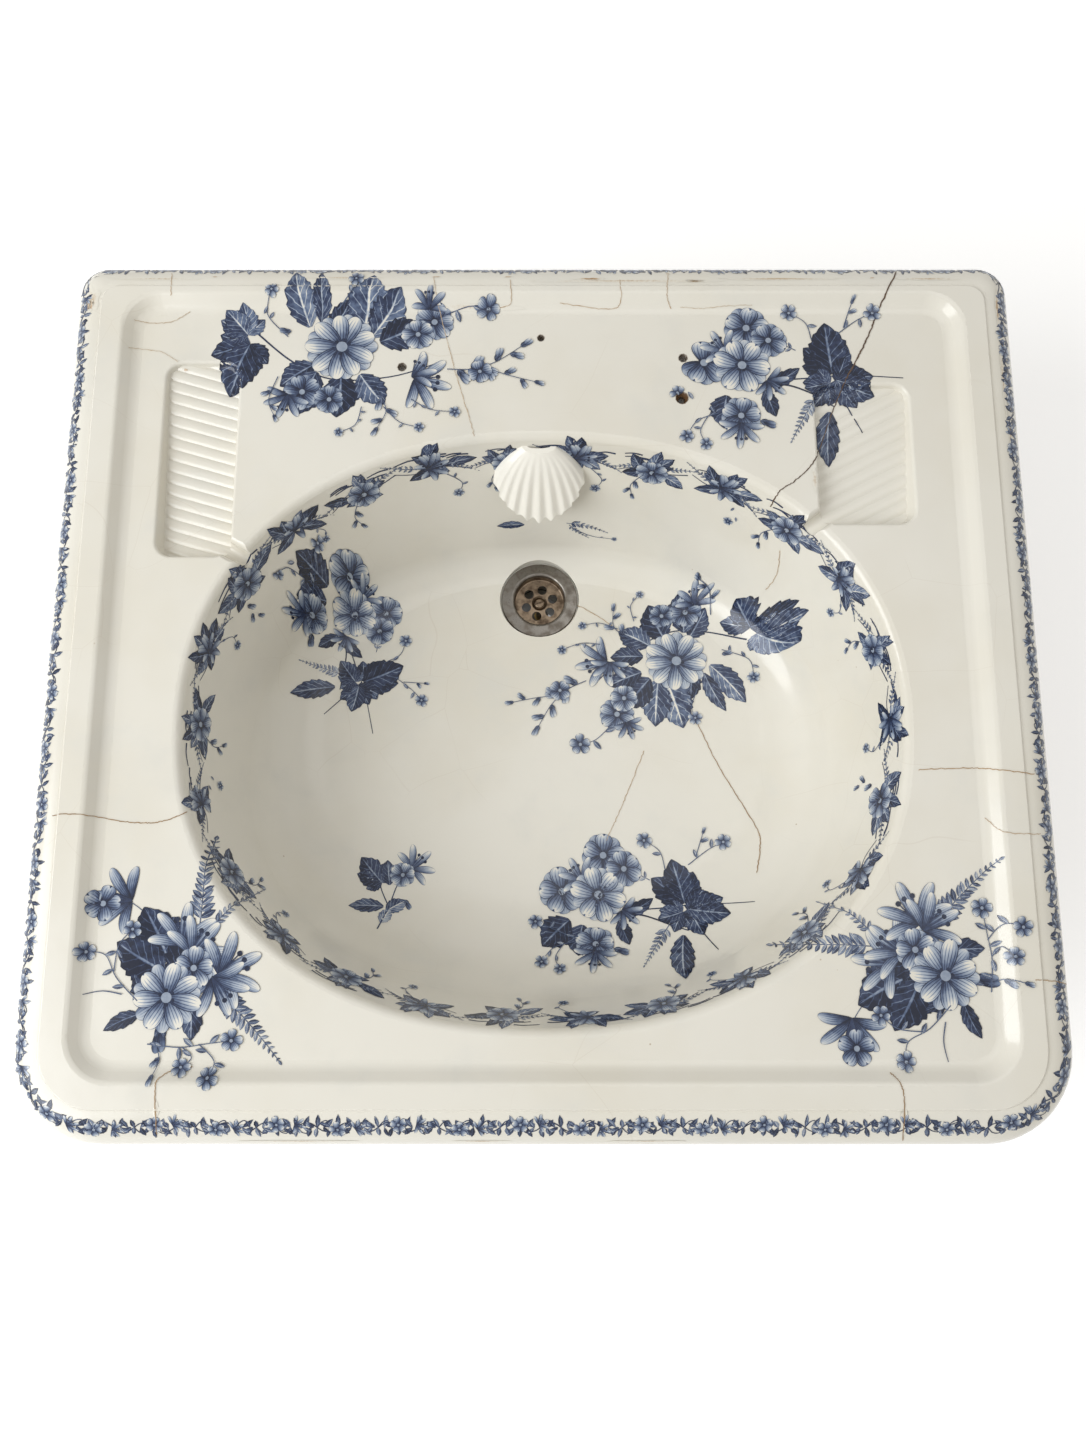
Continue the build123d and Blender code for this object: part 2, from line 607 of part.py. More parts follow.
def make_waste_body():
    """Lower half of the waste: flange, spider with its hub, tail for the trap nut."""
    bore = TAIL_RADIUS - TAIL_WALL
    flange_radius = OUTLET_RADIUS + SEAL_WIDTH
    points = [
        (bore, BODY_Z),
        (flange_radius, BODY_Z),
        (flange_radius, BODY_Z - BODY_FLANGE),
        (TAIL_RADIUS, BODY_Z - BODY_FLANGE - (flange_radius - TAIL_RADIUS) / 2),
        (TAIL_RADIUS, TAIL_Z),
        (bore, TAIL_Z),
    ]
    body = revolve(Plane.XZ * make_face(Polyline(*points, close=True)), Axis.Z)
    arm_length = bore + TAIL_WALL / 2
    for index in range(SPIDER_ARMS):
        arm = Pos(arm_length / 2, 0, BODY_Z - SPIDER_HEIGHT / 2) * Box(arm_length, SPIDER_ARM, SPIDER_HEIGHT)
        body += Rot(0, 0, 90 + index * 360 / SPIDER_ARMS) * arm
    body += rod(HUB_RADIUS, BODY_Z - HUB_LENGTH, BODY_Z)
    insert_radius = SCREW_RADIUS + INSERT_WALL
    body -= rod(insert_radius, BODY_Z - INSERT_LENGTH, BODY_Z + PASS)
    body -= rod(SCREW_RADIUS + SCREW_CLEARANCE, BODY_Z - HUB_LENGTH - PASS, BODY_Z)
    return drain(body)


def make_insert():
    """Brass insert in the hub, which the strainer screw draws against."""
    return drain(tube(SCREW_RADIUS + INSERT_WALL, SCREW_RADIUS, BODY_Z - INSERT_LENGTH, BODY_Z))


def make_screw():
    """Slotted screw through the strainer into the insert."""
    seat = PLATE_TOP_Z - SCREW_HEAD_HEIGHT
    head = rod(SCREW_HEAD_RADIUS, seat, seat + SCREW_HEAD_HEIGHT)
    head = fillet(edges_at(head, seat + SCREW_HEAD_HEIGHT), SCREW_HEAD_ROUND)
    slot_z = seat + SCREW_HEAD_HEIGHT - SCREW_SLOT_DEPTH / 2
    slot = Pos(0, 0, slot_z) * Box(2 * SCREW_HEAD_RADIUS + PASS, SCREW_SLOT, SCREW_SLOT_DEPTH)
    head -= Rot(0, 0, STRAINER_TURN) * slot
    return drain(head + rod(SCREW_RADIUS, BODY_Z - INSERT_LENGTH, seat))


def main():
    """Builds every piece and writes one file for each."""
    inner_base, inner_wall = bowl_forms(0)
    outer_base, outer_wall = bowl_forms(BOWL_WALL)
    pieces = {
        "slab_top": make_slab(inner_wall, outer_wall),
        "bowl": make_bowl(inner_base, inner_wall, outer_base, outer_wall),
        "overflow_shell": make_shell(inner_wall),
        "overflow_duct": make_duct(outer_base, outer_wall),
        "strainer": make_strainer(),
        "strainer_screw": make_screw(),
        "flange_seal": make_flange_seal(),
        "outlet_seal": make_outlet_seal(),
        "waste_body": make_waste_body(),
        "screw_insert": make_insert(),
    }
    os.makedirs("parts", exist_ok=True)
    for name, piece in pieces.items():
        export_step(piece, f"parts/{name}.step")


main()
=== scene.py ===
import bisect
import math
import random

import bpy
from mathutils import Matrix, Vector
from mathutils.bvhtree import BVHTree


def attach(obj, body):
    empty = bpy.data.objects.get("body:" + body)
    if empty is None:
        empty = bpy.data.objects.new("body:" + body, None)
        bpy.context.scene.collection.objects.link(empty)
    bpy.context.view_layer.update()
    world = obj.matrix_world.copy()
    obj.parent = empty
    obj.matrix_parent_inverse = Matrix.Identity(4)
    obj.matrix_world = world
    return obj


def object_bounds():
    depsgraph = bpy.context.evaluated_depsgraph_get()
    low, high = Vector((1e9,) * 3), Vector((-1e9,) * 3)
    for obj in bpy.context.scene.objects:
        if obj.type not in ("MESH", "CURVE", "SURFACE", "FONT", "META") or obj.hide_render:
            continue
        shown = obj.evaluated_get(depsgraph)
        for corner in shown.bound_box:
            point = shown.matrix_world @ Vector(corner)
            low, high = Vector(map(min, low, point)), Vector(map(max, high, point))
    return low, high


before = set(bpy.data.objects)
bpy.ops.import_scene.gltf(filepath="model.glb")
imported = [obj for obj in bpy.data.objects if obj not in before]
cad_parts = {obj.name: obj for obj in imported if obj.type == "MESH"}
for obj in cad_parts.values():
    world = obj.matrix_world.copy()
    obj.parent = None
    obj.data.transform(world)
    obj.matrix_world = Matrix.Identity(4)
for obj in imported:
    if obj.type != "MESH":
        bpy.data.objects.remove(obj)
cad_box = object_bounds()

MM = 0.001

# Camera at the photograph's view
IMAGE_WIDTH = 1086
IMAGE_HEIGHT = 1448
FOCAL_PIXELS = 1087
CAMERA_PLACE = Vector((0.0, -0.181, 0.772))
CAMERA_TILT = math.radians(11)

camera_data = bpy.data.cameras.new("camera")
camera_data.sensor_width = 36
camera_data.lens = 36 * FOCAL_PIXELS / IMAGE_HEIGHT
camera = bpy.data.objects.new("camera", camera_data)
camera.location = CAMERA_PLACE
camera.rotation_euler = (CAMERA_TILT, 0, 0)
bpy.context.scene.collection.objects.link(camera)
bpy.context.scene.camera = camera


# Small helper for building materials from nodes
class Graph:
    """One material, its shader and short ways to add nodes to it."""

    def __init__(self, name):
        self.material = bpy.data.materials.new(name)
        self.material.use_nodes = True
        self.tree = self.material.node_tree
        self.tree.nodes.clear()
        self.output = self.tree.nodes.new("ShaderNodeOutputMaterial")
        self.shader = self.tree.nodes.new("ShaderNodeBsdfPrincipled")
        self.tree.links.new(self.shader.outputs["BSDF"], self.output.inputs["Surface"])
        self.place = self.node("ShaderNodeTexCoord").outputs["Object"]

    def put(self, socket, value):
        """Links a socket to another, or sets its value."""
        if isinstance(value, bpy.types.NodeSocket):
            self.tree.links.new(value, socket)
        elif isinstance(value, tuple) and len(value) == 3 and socket.type == "RGBA":
            socket.default_value = (*value, 1)
        else:
            socket.default_value = value

    def node(self, kind, settings=None, inputs=None):
        made = self.tree.nodes.new(kind)
        for name, value in (settings or {}).items():
            setattr(made, name, value)
        for name, value in (inputs or {}).items():
            self.put(made.inputs[name], value)
        return made

    def math(self, operation, first, second=0.0, clamp=False):
        settings = {"operation": operation, "use_clamp": clamp}
        return self.node("ShaderNodeMath", settings, {0: first, 1: second}).outputs[0]

    def step(self, value, low, high, start=0.0, end=1.0):
        """Smooth step of a value from one level to another."""
        inputs = {"Value": value, "From Min": low, "From Max": high, "To Min": start, "To Max": end}
        return self.node("ShaderNodeMapRange", {"interpolation_type": "SMOOTHSTEP"}, inputs).outputs[0]

    def mix(self, factor, first, second):
        return self.node("ShaderNodeMix", {"data_type": "RGBA"}, {0: factor, 6: first, 7: second}).outputs[2]

    def blend(self, factor, first, second):
        """Mix of two numbers."""
        return self.node("ShaderNodeMix", {"data_type": "FLOAT"}, {0: factor, 2: first, 3: second}).outputs[0]

    def noise(self, scale, detail=3.0, roughness=0.55):
        inputs = {"Vector": self.place, "Scale": scale, "Detail": detail, "Roughness": roughness}
        return self.node("ShaderNodeTexNoise", None, inputs).outputs[0]

    def attribute(self, name, output):
        return self.node("ShaderNodeAttribute", {"attribute_name": name}).outputs[output]

    def ramp(self, value, stops):
        made = self.node("ShaderNodeValToRGB", None, {0: value})
        elements = made.color_ramp.elements
        while len(elements) < len(stops):
            elements.new(0.5)
        for element, (position, colour) in zip(elements, stops):
            element.position = position
            element.color = (*colour, 1)
        return made.outputs[0]

    def parts(self, vector):
        made = self.node("ShaderNodeSeparateXYZ", None, {0: vector})
        return made.outputs[0], made.outputs[1], made.outputs[2]

    def bump(self, height, strength, distance):
        inputs = {"Height": height, "Strength": strength, "Distance": distance}
        return self.node("ShaderNodeBump", None, inputs).outputs[0]


CREAM = (0.78, 0.75, 0.668)
CREAM_WARM = (0.72, 0.675, 0.565)
CREAM_GREY = (0.70, 0.685, 0.625)
STAIN = (0.36, 0.24, 0.12)
SHELL_WHITE = (0.90, 0.87, 0.79)
SHELL_WHITE_SHARE = 0.85
# Dark brown of the drilled holes: painted shade with dirt on their walls, dirt in a thin ring round them
HOLE_DIRT_AND_SHADE = (0.115, 0.062, 0.03)
BISCUIT = (0.60, 0.50, 0.37)
BISCUIT_DARK = (0.42, 0.33, 0.23)
BISCUIT_ROUGH = 0.75


def glaze_colour(graph):
    """Aged cream glaze: clouds of tone, faint hairlines and a few specks."""
    clouds = graph.step(graph.noise(7, 4), 0.42, 0.68)
    colour = graph.mix(graph.math("MULTIPLY", clouds, 0.5), CREAM, CREAM_WARM)
    grey = graph.step(graph.noise(16, 5, 0.6), 0.5, 0.75)
    colour = graph.mix(graph.math("MULTIPLY", grey, 0.5), colour, CREAM_GREY)
    bend = graph.node("ShaderNodeTexNoise", None, {"Vector": graph.place, "Scale": 9, "Detail": 2})
    bent = graph.node("ShaderNodeMix", {"data_type": "VECTOR"},
                      {0: 0.025, 4: graph.place, 5: bend.outputs[1]})
    cells = graph.node("ShaderNodeTexVoronoi", {"feature": "DISTANCE_TO_EDGE"},
                       {"Vector": bent.outputs[1], "Scale": 15})
    line = graph.step(cells.outputs[0], 0.001, 0.0045, 1, 0)
    shown = graph.step(graph.noise(6, 2), 0.5, 0.62)
    colour = graph.mix(graph.math("MULTIPLY", graph.math("MULTIPLY", line, shown), 0.1), colour, STAIN)
    dots = graph.node("ShaderNodeTexVoronoi", {"feature": "F1"}, {"Vector": graph.place, "Scale": 55})
    speck = graph.step(dots.outputs[0], 0.02, 0.045, 1, 0)
    rare = graph.step(graph.noise(23, 1), 0.6, 0.66)
    return graph.mix(graph.math("MULTIPLY", graph.math("MULTIPLY", speck, rare), 0.6), colour, STAIN)


def glaze_finish(graph):
    """Gloss of the glaze, with its slight waves."""
    graph.put(graph.shader.inputs["Roughness"], graph.step(graph.noise(30, 4), 0.3, 0.8, 0.13, 0.26))
    graph.shader.inputs["IOR"].default_value = 1.5
    waves = graph.noise(38, 2)
    orange_peel = graph.noise(420, 2)
    height = graph.math("ADD", waves, graph.math("MULTIPLY", orange_peel, 0.05))
    graph.put(graph.shader.inputs["Normal"], graph.bump(height, 0.10, 0.0015))


def ceramic_material(name, unglazed):
    """Glaze above and inside, thin rough biscuit where the mask says so."""
    graph = Graph(name)
    colour = glaze_colour(graph)
    mask = unglazed(graph)
    clay = graph.mix(graph.step(graph.noise(22, 6), 0.35, 0.7), BISCUIT, BISCUIT_DARK)
    graph.put(graph.shader.inputs["Base Color"], graph.mix(mask, colour, clay))
    glaze_finish(graph)
    gloss = graph.shader.inputs["Roughness"].links[0].from_socket
    graph.put(graph.shader.inputs["Roughness"], graph.blend(mask, gloss, BISCUIT_ROUGH))
    return graph


# Drilled holes in the deck, in metres: place and radius, with some dirt round each and painted shade
# darkening their walls
HOLES = [
    (-0.1037, 0.2295, 0.0032),
    (0.1032, 0.2367, 0.0032),
    (-0.0015, 0.2528, 0.0026),
    (0.1017, 0.2048, 0.0046),
]
HOLE_DARK_INNER = 0.0004
HOLE_DARK_OUTER = 0.0016


def hole_dirt_and_shade(graph):
    """Painted shade with some dirt on the walls of the drilled holes, and dirt thinly round them."""
    x, y, _ = graph.parts(graph.place)
    jitter = graph.math("MULTIPLY", graph.noise(700, 3), HOLE_DARK_OUTER)
    total = None
    for hole_x, hole_y, radius in HOLES:
        across = graph.math("POWER", graph.math("SUBTRACT", x, hole_x), 2.0)
        along = graph.math("POWER", graph.math("SUBTRACT", y, hole_y), 2.0)
        reach = graph.math("ADD", graph.math("SQRT", graph.math("ADD", across, along)), jitter)
        near = graph.step(reach, radius + HOLE_DARK_INNER, radius + HOLE_DARK_OUTER, 1, 0)
        total = graph.math("MAXIMUM", total, near) if total else near
    return total


# Middle of the bowl's mouth, at the level of the deck
MOUTH_MIDDLE = Vector((0.0, -0.034, 0.037))


def facing_down(graph):
    """Where the surface looks down."""
    normal = graph.node("ShaderNodeNewGeometry").outputs["Normal"]
    return graph.step(graph.parts(normal)[2], -0.55, -0.3, 1, 0)


def facing_out(graph):
    """Where the bowl's surface looks away from the middle of its mouth."""
    normal = graph.node("ShaderNodeNewGeometry").outputs["Normal"]
    inward = graph.node("ShaderNodeVectorMath", {"operation": "SUBTRACT"},
                        {0: tuple(MOUTH_MIDDLE), 1: graph.place})
    turn = graph.node("ShaderNodeVectorMath", {"operation": "DOT_PRODUCT"},
                      {0: normal, 1: inward.outputs[0]})
    return graph.step(turn.outputs["Value"], -0.012, 0.004, 1, 0)


def dress(node, graph):
    """Gives a CAD node its material."""
    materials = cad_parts[node].data.materials
    materials.clear()
    materials.append(graph.material)


# Heights of the strainer's plate and of its flange
CUP_FLOOR_Z = -0.1085
FLANGE_Z = -0.1005


def steel_material():
    """Worn steel, brown with deposit down in the cup."""
    graph = Graph("steel")
    graph.shader.inputs["Metallic"].default_value = 1.0
    grain = graph.noise(900, 2)
    scale = graph.step(graph.noise(120, 5, 0.6), 0.42, 0.66)
    colour = graph.mix(graph.math("MULTIPLY", scale, 0.6), (0.22, 0.205, 0.182), (0.125, 0.10, 0.075))
    sunk = graph.step(graph.parts(graph.place)[2], CUP_FLOOR_Z, FLANGE_Z, 0.85, 0.05)
    colour = graph.mix(sunk, colour, graph.mix(scale, (0.26, 0.19, 0.125), (0.10, 0.065, 0.04)))
    graph.put(graph.shader.inputs["Base Color"], colour)
    worn = graph.math("ADD", graph.math("MULTIPLY", scale, 0.25), graph.math("MULTIPLY", grain, 0.2))
    graph.put(graph.shader.inputs["Roughness"], graph.math("ADD", worn, 0.2, True))
    graph.put(graph.shader.inputs["Normal"], graph.bump(graph.noise(260, 4), 0.25, 0.0004))
    return graph


def plain_material(name, light, dark, scale, rough_low, rough_high, bump, metallic=0.0):
    """A moulded, turned or fired surface with cloudy tone and fine grain."""
    graph = Graph(name)
    graph.shader.inputs["Metallic"].default_value = metallic
    cloud = graph.step(graph.noise(scale, 5), 0.35, 0.7)
    graph.put(graph.shader.inputs["Base Color"], graph.mix(cloud, light, dark))
    grain = graph.noise(scale * 14, 3)
    graph.put(graph.shader.inputs["Roughness"], graph.step(grain, 0.3, 0.7, rough_low, rough_high))
    graph.put(graph.shader.inputs["Normal"], graph.bump(grain, bump, 0.0005))
    return graph


def tint(graph, factor, colour):
    """Lays a colour over the one that the material has."""
    base = graph.shader.inputs["Base Color"]
    graph.put(base, graph.mix(factor, base.links[0].from_socket, colour))


slab_graph = ceramic_material("slab_glaze", facing_down)
# Painted shade inside the drilled holes, with dirt round their tops
tint(slab_graph, hole_dirt_and_shade(slab_graph), HOLE_DIRT_AND_SHADE)
dress("slab_top", slab_graph)
dress("bowl", ceramic_material("bowl_glaze", facing_out))
shell_graph = ceramic_material("shell_glaze", facing_down)
tint(shell_graph, SHELL_WHITE_SHARE, SHELL_WHITE)
dress("overflow_shell", shell_graph)
dress("overflow_duct", plain_material("biscuit", BISCUIT, BISCUIT_DARK, 24, 0.5, 0.8, 0.3))
steel = steel_material()
dress("strainer", steel)
dress("strainer_screw", steel)
rubber = plain_material("rubber", (0.03, 0.03, 0.03), (0.05, 0.048, 0.045), 90, 0.6, 0.8, 0.2)
dress("flange_seal", rubber)
dress("outlet_seal", rubber)
dress("waste_body", plain_material("plastic", (0.62, 0.61, 0.57), (0.55, 0.52, 0.46), 40, 0.35, 0.5, 0.12))
brass = plain_material("brass", (0.60, 0.44, 0.18), (0.40, 0.27, 0.10), 150, 0.25, 0.45, 0.1, 1.0)
dress("screw_insert", brass)


# Surfaces that carry the print: the slab and the bowl as one searchable surface
def joined_surface(nodes):
    points, faces = [], []
    for node in nodes:
        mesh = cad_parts[node].data
        first = len(points)
        points += [vertex.co.copy() for vertex in mesh.vertices]
        faces += [tuple(first + index for index in face.vertices) for face in mesh.polygons]
    return BVHTree.FromPolygons(points, faces)


surface = joined_surface(["slab_top", "bowl"])
# Just below the trays' floors, and the reach of the rays that find the glaze, in metres
TRAY_FLOOR_Z = 0.020
RAY_START = 0.09
RAY_REACH = 0.3


def seen_at(column, row):
    """Point and normal of the glaze at a pixel of the photograph."""
    right = (column - IMAGE_WIDTH / 2) / FOCAL_PIXELS
    down = (row - IMAGE_HEIGHT / 2) / FOCAL_PIXELS
    up_axis = Vector((0, math.cos(CAMERA_TILT), math.sin(CAMERA_TILT)))
    forward = Vector((0, math.sin(CAMERA_TILT), -math.cos(CAMERA_TILT)))
    ray = forward + Vector((right, 0, 0)) - up_axis * down
    point, normal, _, _ = surface.ray_cast(CAMERA_PLACE, ray.normalized())
    return point, normal


def outside_bowl(point, normal):
    """Whether a spot below the trays lies on the bowl's outer face."""
    return point.z < TRAY_FLOOR_Z and normal.dot(MOUTH_MIDDLE - point) < 0


def flat_place(column, row, lean=None):
    """Sheet of millimetres laid on the glaze round a pixel of the photograph."""
    middle, normal = seen_at(column, row)
    axis = Vector(lean or normal).normalized()
    across = Vector((0, 1, 0)).cross(axis).normalized()
    away = axis.cross(across)

    def place(x, y):
        start = middle + (across * x + away * y) * MM + axis * RAY_START
        point, face_normal, _, _ = surface.ray_cast(start, -axis, RAY_REACH)
        if point is None or outside_bowl(point, face_normal):
            return None, None
        return point, face_normal

    return place


# Oval of the bowl at the deck, in millimetres, and the lean of its wall
OVAL_A = 251.0
OVAL_B = 208.5
OVAL_Y = -34.0
OVAL_POWER = 2.2
WALL_LEAN = math.radians(18)
DECK_Z = 37.0
OVAL_MEASURED_DROP = 30


def oval_point(angle, drop):
    """Point of the bowl's wall at an angle, some way down along the slope."""
    shrink = drop * math.sin(WALL_LEAN)
    power = 2 / OVAL_POWER
    across = math.copysign(abs(math.cos(angle)) ** power, math.cos(angle))
    along = math.copysign(abs(math.sin(angle)) ** power, math.sin(angle))
    height = DECK_Z - drop * math.cos(WALL_LEAN)
    return Vector(((OVAL_A - shrink) * across, OVAL_Y + (OVAL_B - shrink) * along, height)) * MM


def oval_steps(count):
    """Angles and lengths along the oval, from its right end anticlockwise."""
    angles = [2 * math.pi * step / count for step in range(count + 1)]
    points = [oval_point(angle, OVAL_MEASURED_DROP) for angle in angles]
    lengths = [0.0]
    for first, second in zip(points, points[1:]):
        lengths.append(lengths[-1] + (second - first).length / MM)
    return angles, lengths


OVAL_ANGLES, OVAL_LENGTHS = oval_steps(720)


def wall_place(x, y):
    """Sheet wound round the bowl's wall: x along it, y up from the lip. Nothing lands on the outside."""
    run = x % OVAL_LENGTHS[-1]
    index = bisect.bisect_right(OVAL_LENGTHS, run) - 1
    index = min(index, len(OVAL_ANGLES) - 2)
    span = OVAL_LENGTHS[index + 1] - OVAL_LENGTHS[index]
    share = (run - OVAL_LENGTHS[index]) / span
    angle = OVAL_ANGLES[index] + share * (OVAL_ANGLES[index + 1] - OVAL_ANGLES[index])
    point, normal, _, _ = surface.find_nearest(oval_point(angle, -y))
    if outside_bowl(point, normal):
        return None, None
    return point, normal


# Rolled edge of the slab, in millimetres, and how far over the roll its border lies, in degrees
HALF_WIDTH = 350.0
HALF_DEPTH = 315.0
ROLL_RADIUS = 23.0
ROLL_Z = 20.5
FRONT_ARC = 40.0
BACK_ARC = 2.0
BORDER_LEAN = 35.0
BORDER_SWING = 11.0


def edge_runs():
    """Straight runs and corner arcs of the roll's middle line, anticlockwise from the front left."""
    left, front = -HALF_WIDTH + ROLL_RADIUS, -HALF_DEPTH + ROLL_RADIUS
    right, back = -left, -front
    corners = [(right, front, FRONT_ARC, -90), (right, back, BACK_ARC, 0), (left, back, BACK_ARC, 90),
               (left, front, FRONT_ARC, 180)]
    runs = []
    begin = Vector((left + FRONT_ARC, front))
    for x, y, arc, turn in corners:
        middle = Vector((x - math.copysign(arc, x), y - math.copysign(arc, y)))
        heading = math.radians(turn)
        finish = middle + Vector((math.cos(heading), math.sin(heading))) * arc
        runs.append(("run", begin, finish, heading))
        runs.append(("arc", middle, arc, heading))
        heading += math.pi / 2
        begin = middle + Vector((math.cos(heading), math.sin(heading))) * arc
    return runs


EDGE_RUNS = edge_runs()


def run_length(run):
    return (run[2] - run[1]).length if run[0] == "run" else run[2] * math.pi / 2


EDGE_LENGTH = sum(run_length(run) for run in EDGE_RUNS)


def roll_place(x, y):
    """Sheet wound round the rolled edge: x along it, y up over the roll."""
    left = x % EDGE_LENGTH
    for run in EDGE_RUNS:
        length = run_length(run)
        if left <= length:
            break
        left -= length
    if run[0] == "run":
        spot = run[1].lerp(run[2], left / length)
        heading = run[3]
    else:
        heading = run[3] + left / run[2]
        spot = run[1] + Vector((math.cos(heading), math.sin(heading))) * run[2]
    out = Vector((math.cos(heading), math.sin(heading), 0))
    lean = math.radians(BORDER_LEAN + BORDER_SWING * out.y) - y / ROLL_RADIUS
    normal = out * math.sin(lean) + Vector((0, 0, math.cos(lean)))
    point = Vector((spot.x, spot.y, ROLL_Z)) + normal * ROLL_RADIUS
    return point * MM, normal


# Print: patches of ink that lie on the glaze, with their lifts in millimetres
PETAL, LEAF, FLAT = 0.0, 1.0, 2.0
INK_LIFT = 0.20
INK_LAYER = 0.0025
CRACK_LAYER = 100
CRACK_STEPS = 14
SPRAY_FINE = 2.2


class Ink:
    """Patches gathered into one mesh, with what the print's material needs to draw each."""

    def __init__(self, name, material):
        self.name = name
        self.material = material
        self.points, self.faces, self.strokes, self.tones = [], [], [], []

    def patch(self, place, layer, rows, columns, shape, kind, tone):
        spots = []
        for row in range(rows + 1):
            for column in range(columns + 1):
                side, along = 2 * column / columns - 1, row / rows
                point, normal = place(*shape(side, along))
                if point is None:
                    return
                spots.append((point + normal * (INK_LIFT + layer * INK_LAYER) * MM, (side, along, kind)))
        first = len(self.points)
        self.points += [spot for spot, _ in spots]
        self.strokes += [stroke for _, stroke in spots]
        self.tones += [tone] * len(spots)
        wide = columns + 1
        for row in range(rows):
            for column in range(columns):
                corner = first + row * wide + column
                self.faces.append((corner, corner + 1, corner + wide + 1, corner + wide))

    def finish(self, slot="glaze"):
        mesh = bpy.data.meshes.new(self.name)
        mesh.from_pydata(self.points, [], self.faces)
        strokes = mesh.attributes.new("stroke", "FLOAT_VECTOR", "POINT")
        strokes.data.foreach_set("vector", [number for stroke in self.strokes for number in stroke])
        tones = mesh.attributes.new("tone", "FLOAT", "POINT")
        tones.data.foreach_set("value", self.tones)
        mesh.polygons.foreach_set("use_smooth", [True] * len(mesh.polygons))
        mesh.materials.append(self.material)
        piece = bpy.data.objects.new(self.name, mesh)
        bpy.context.scene.collection.objects.link(piece)
        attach(piece, "root")
        return piece


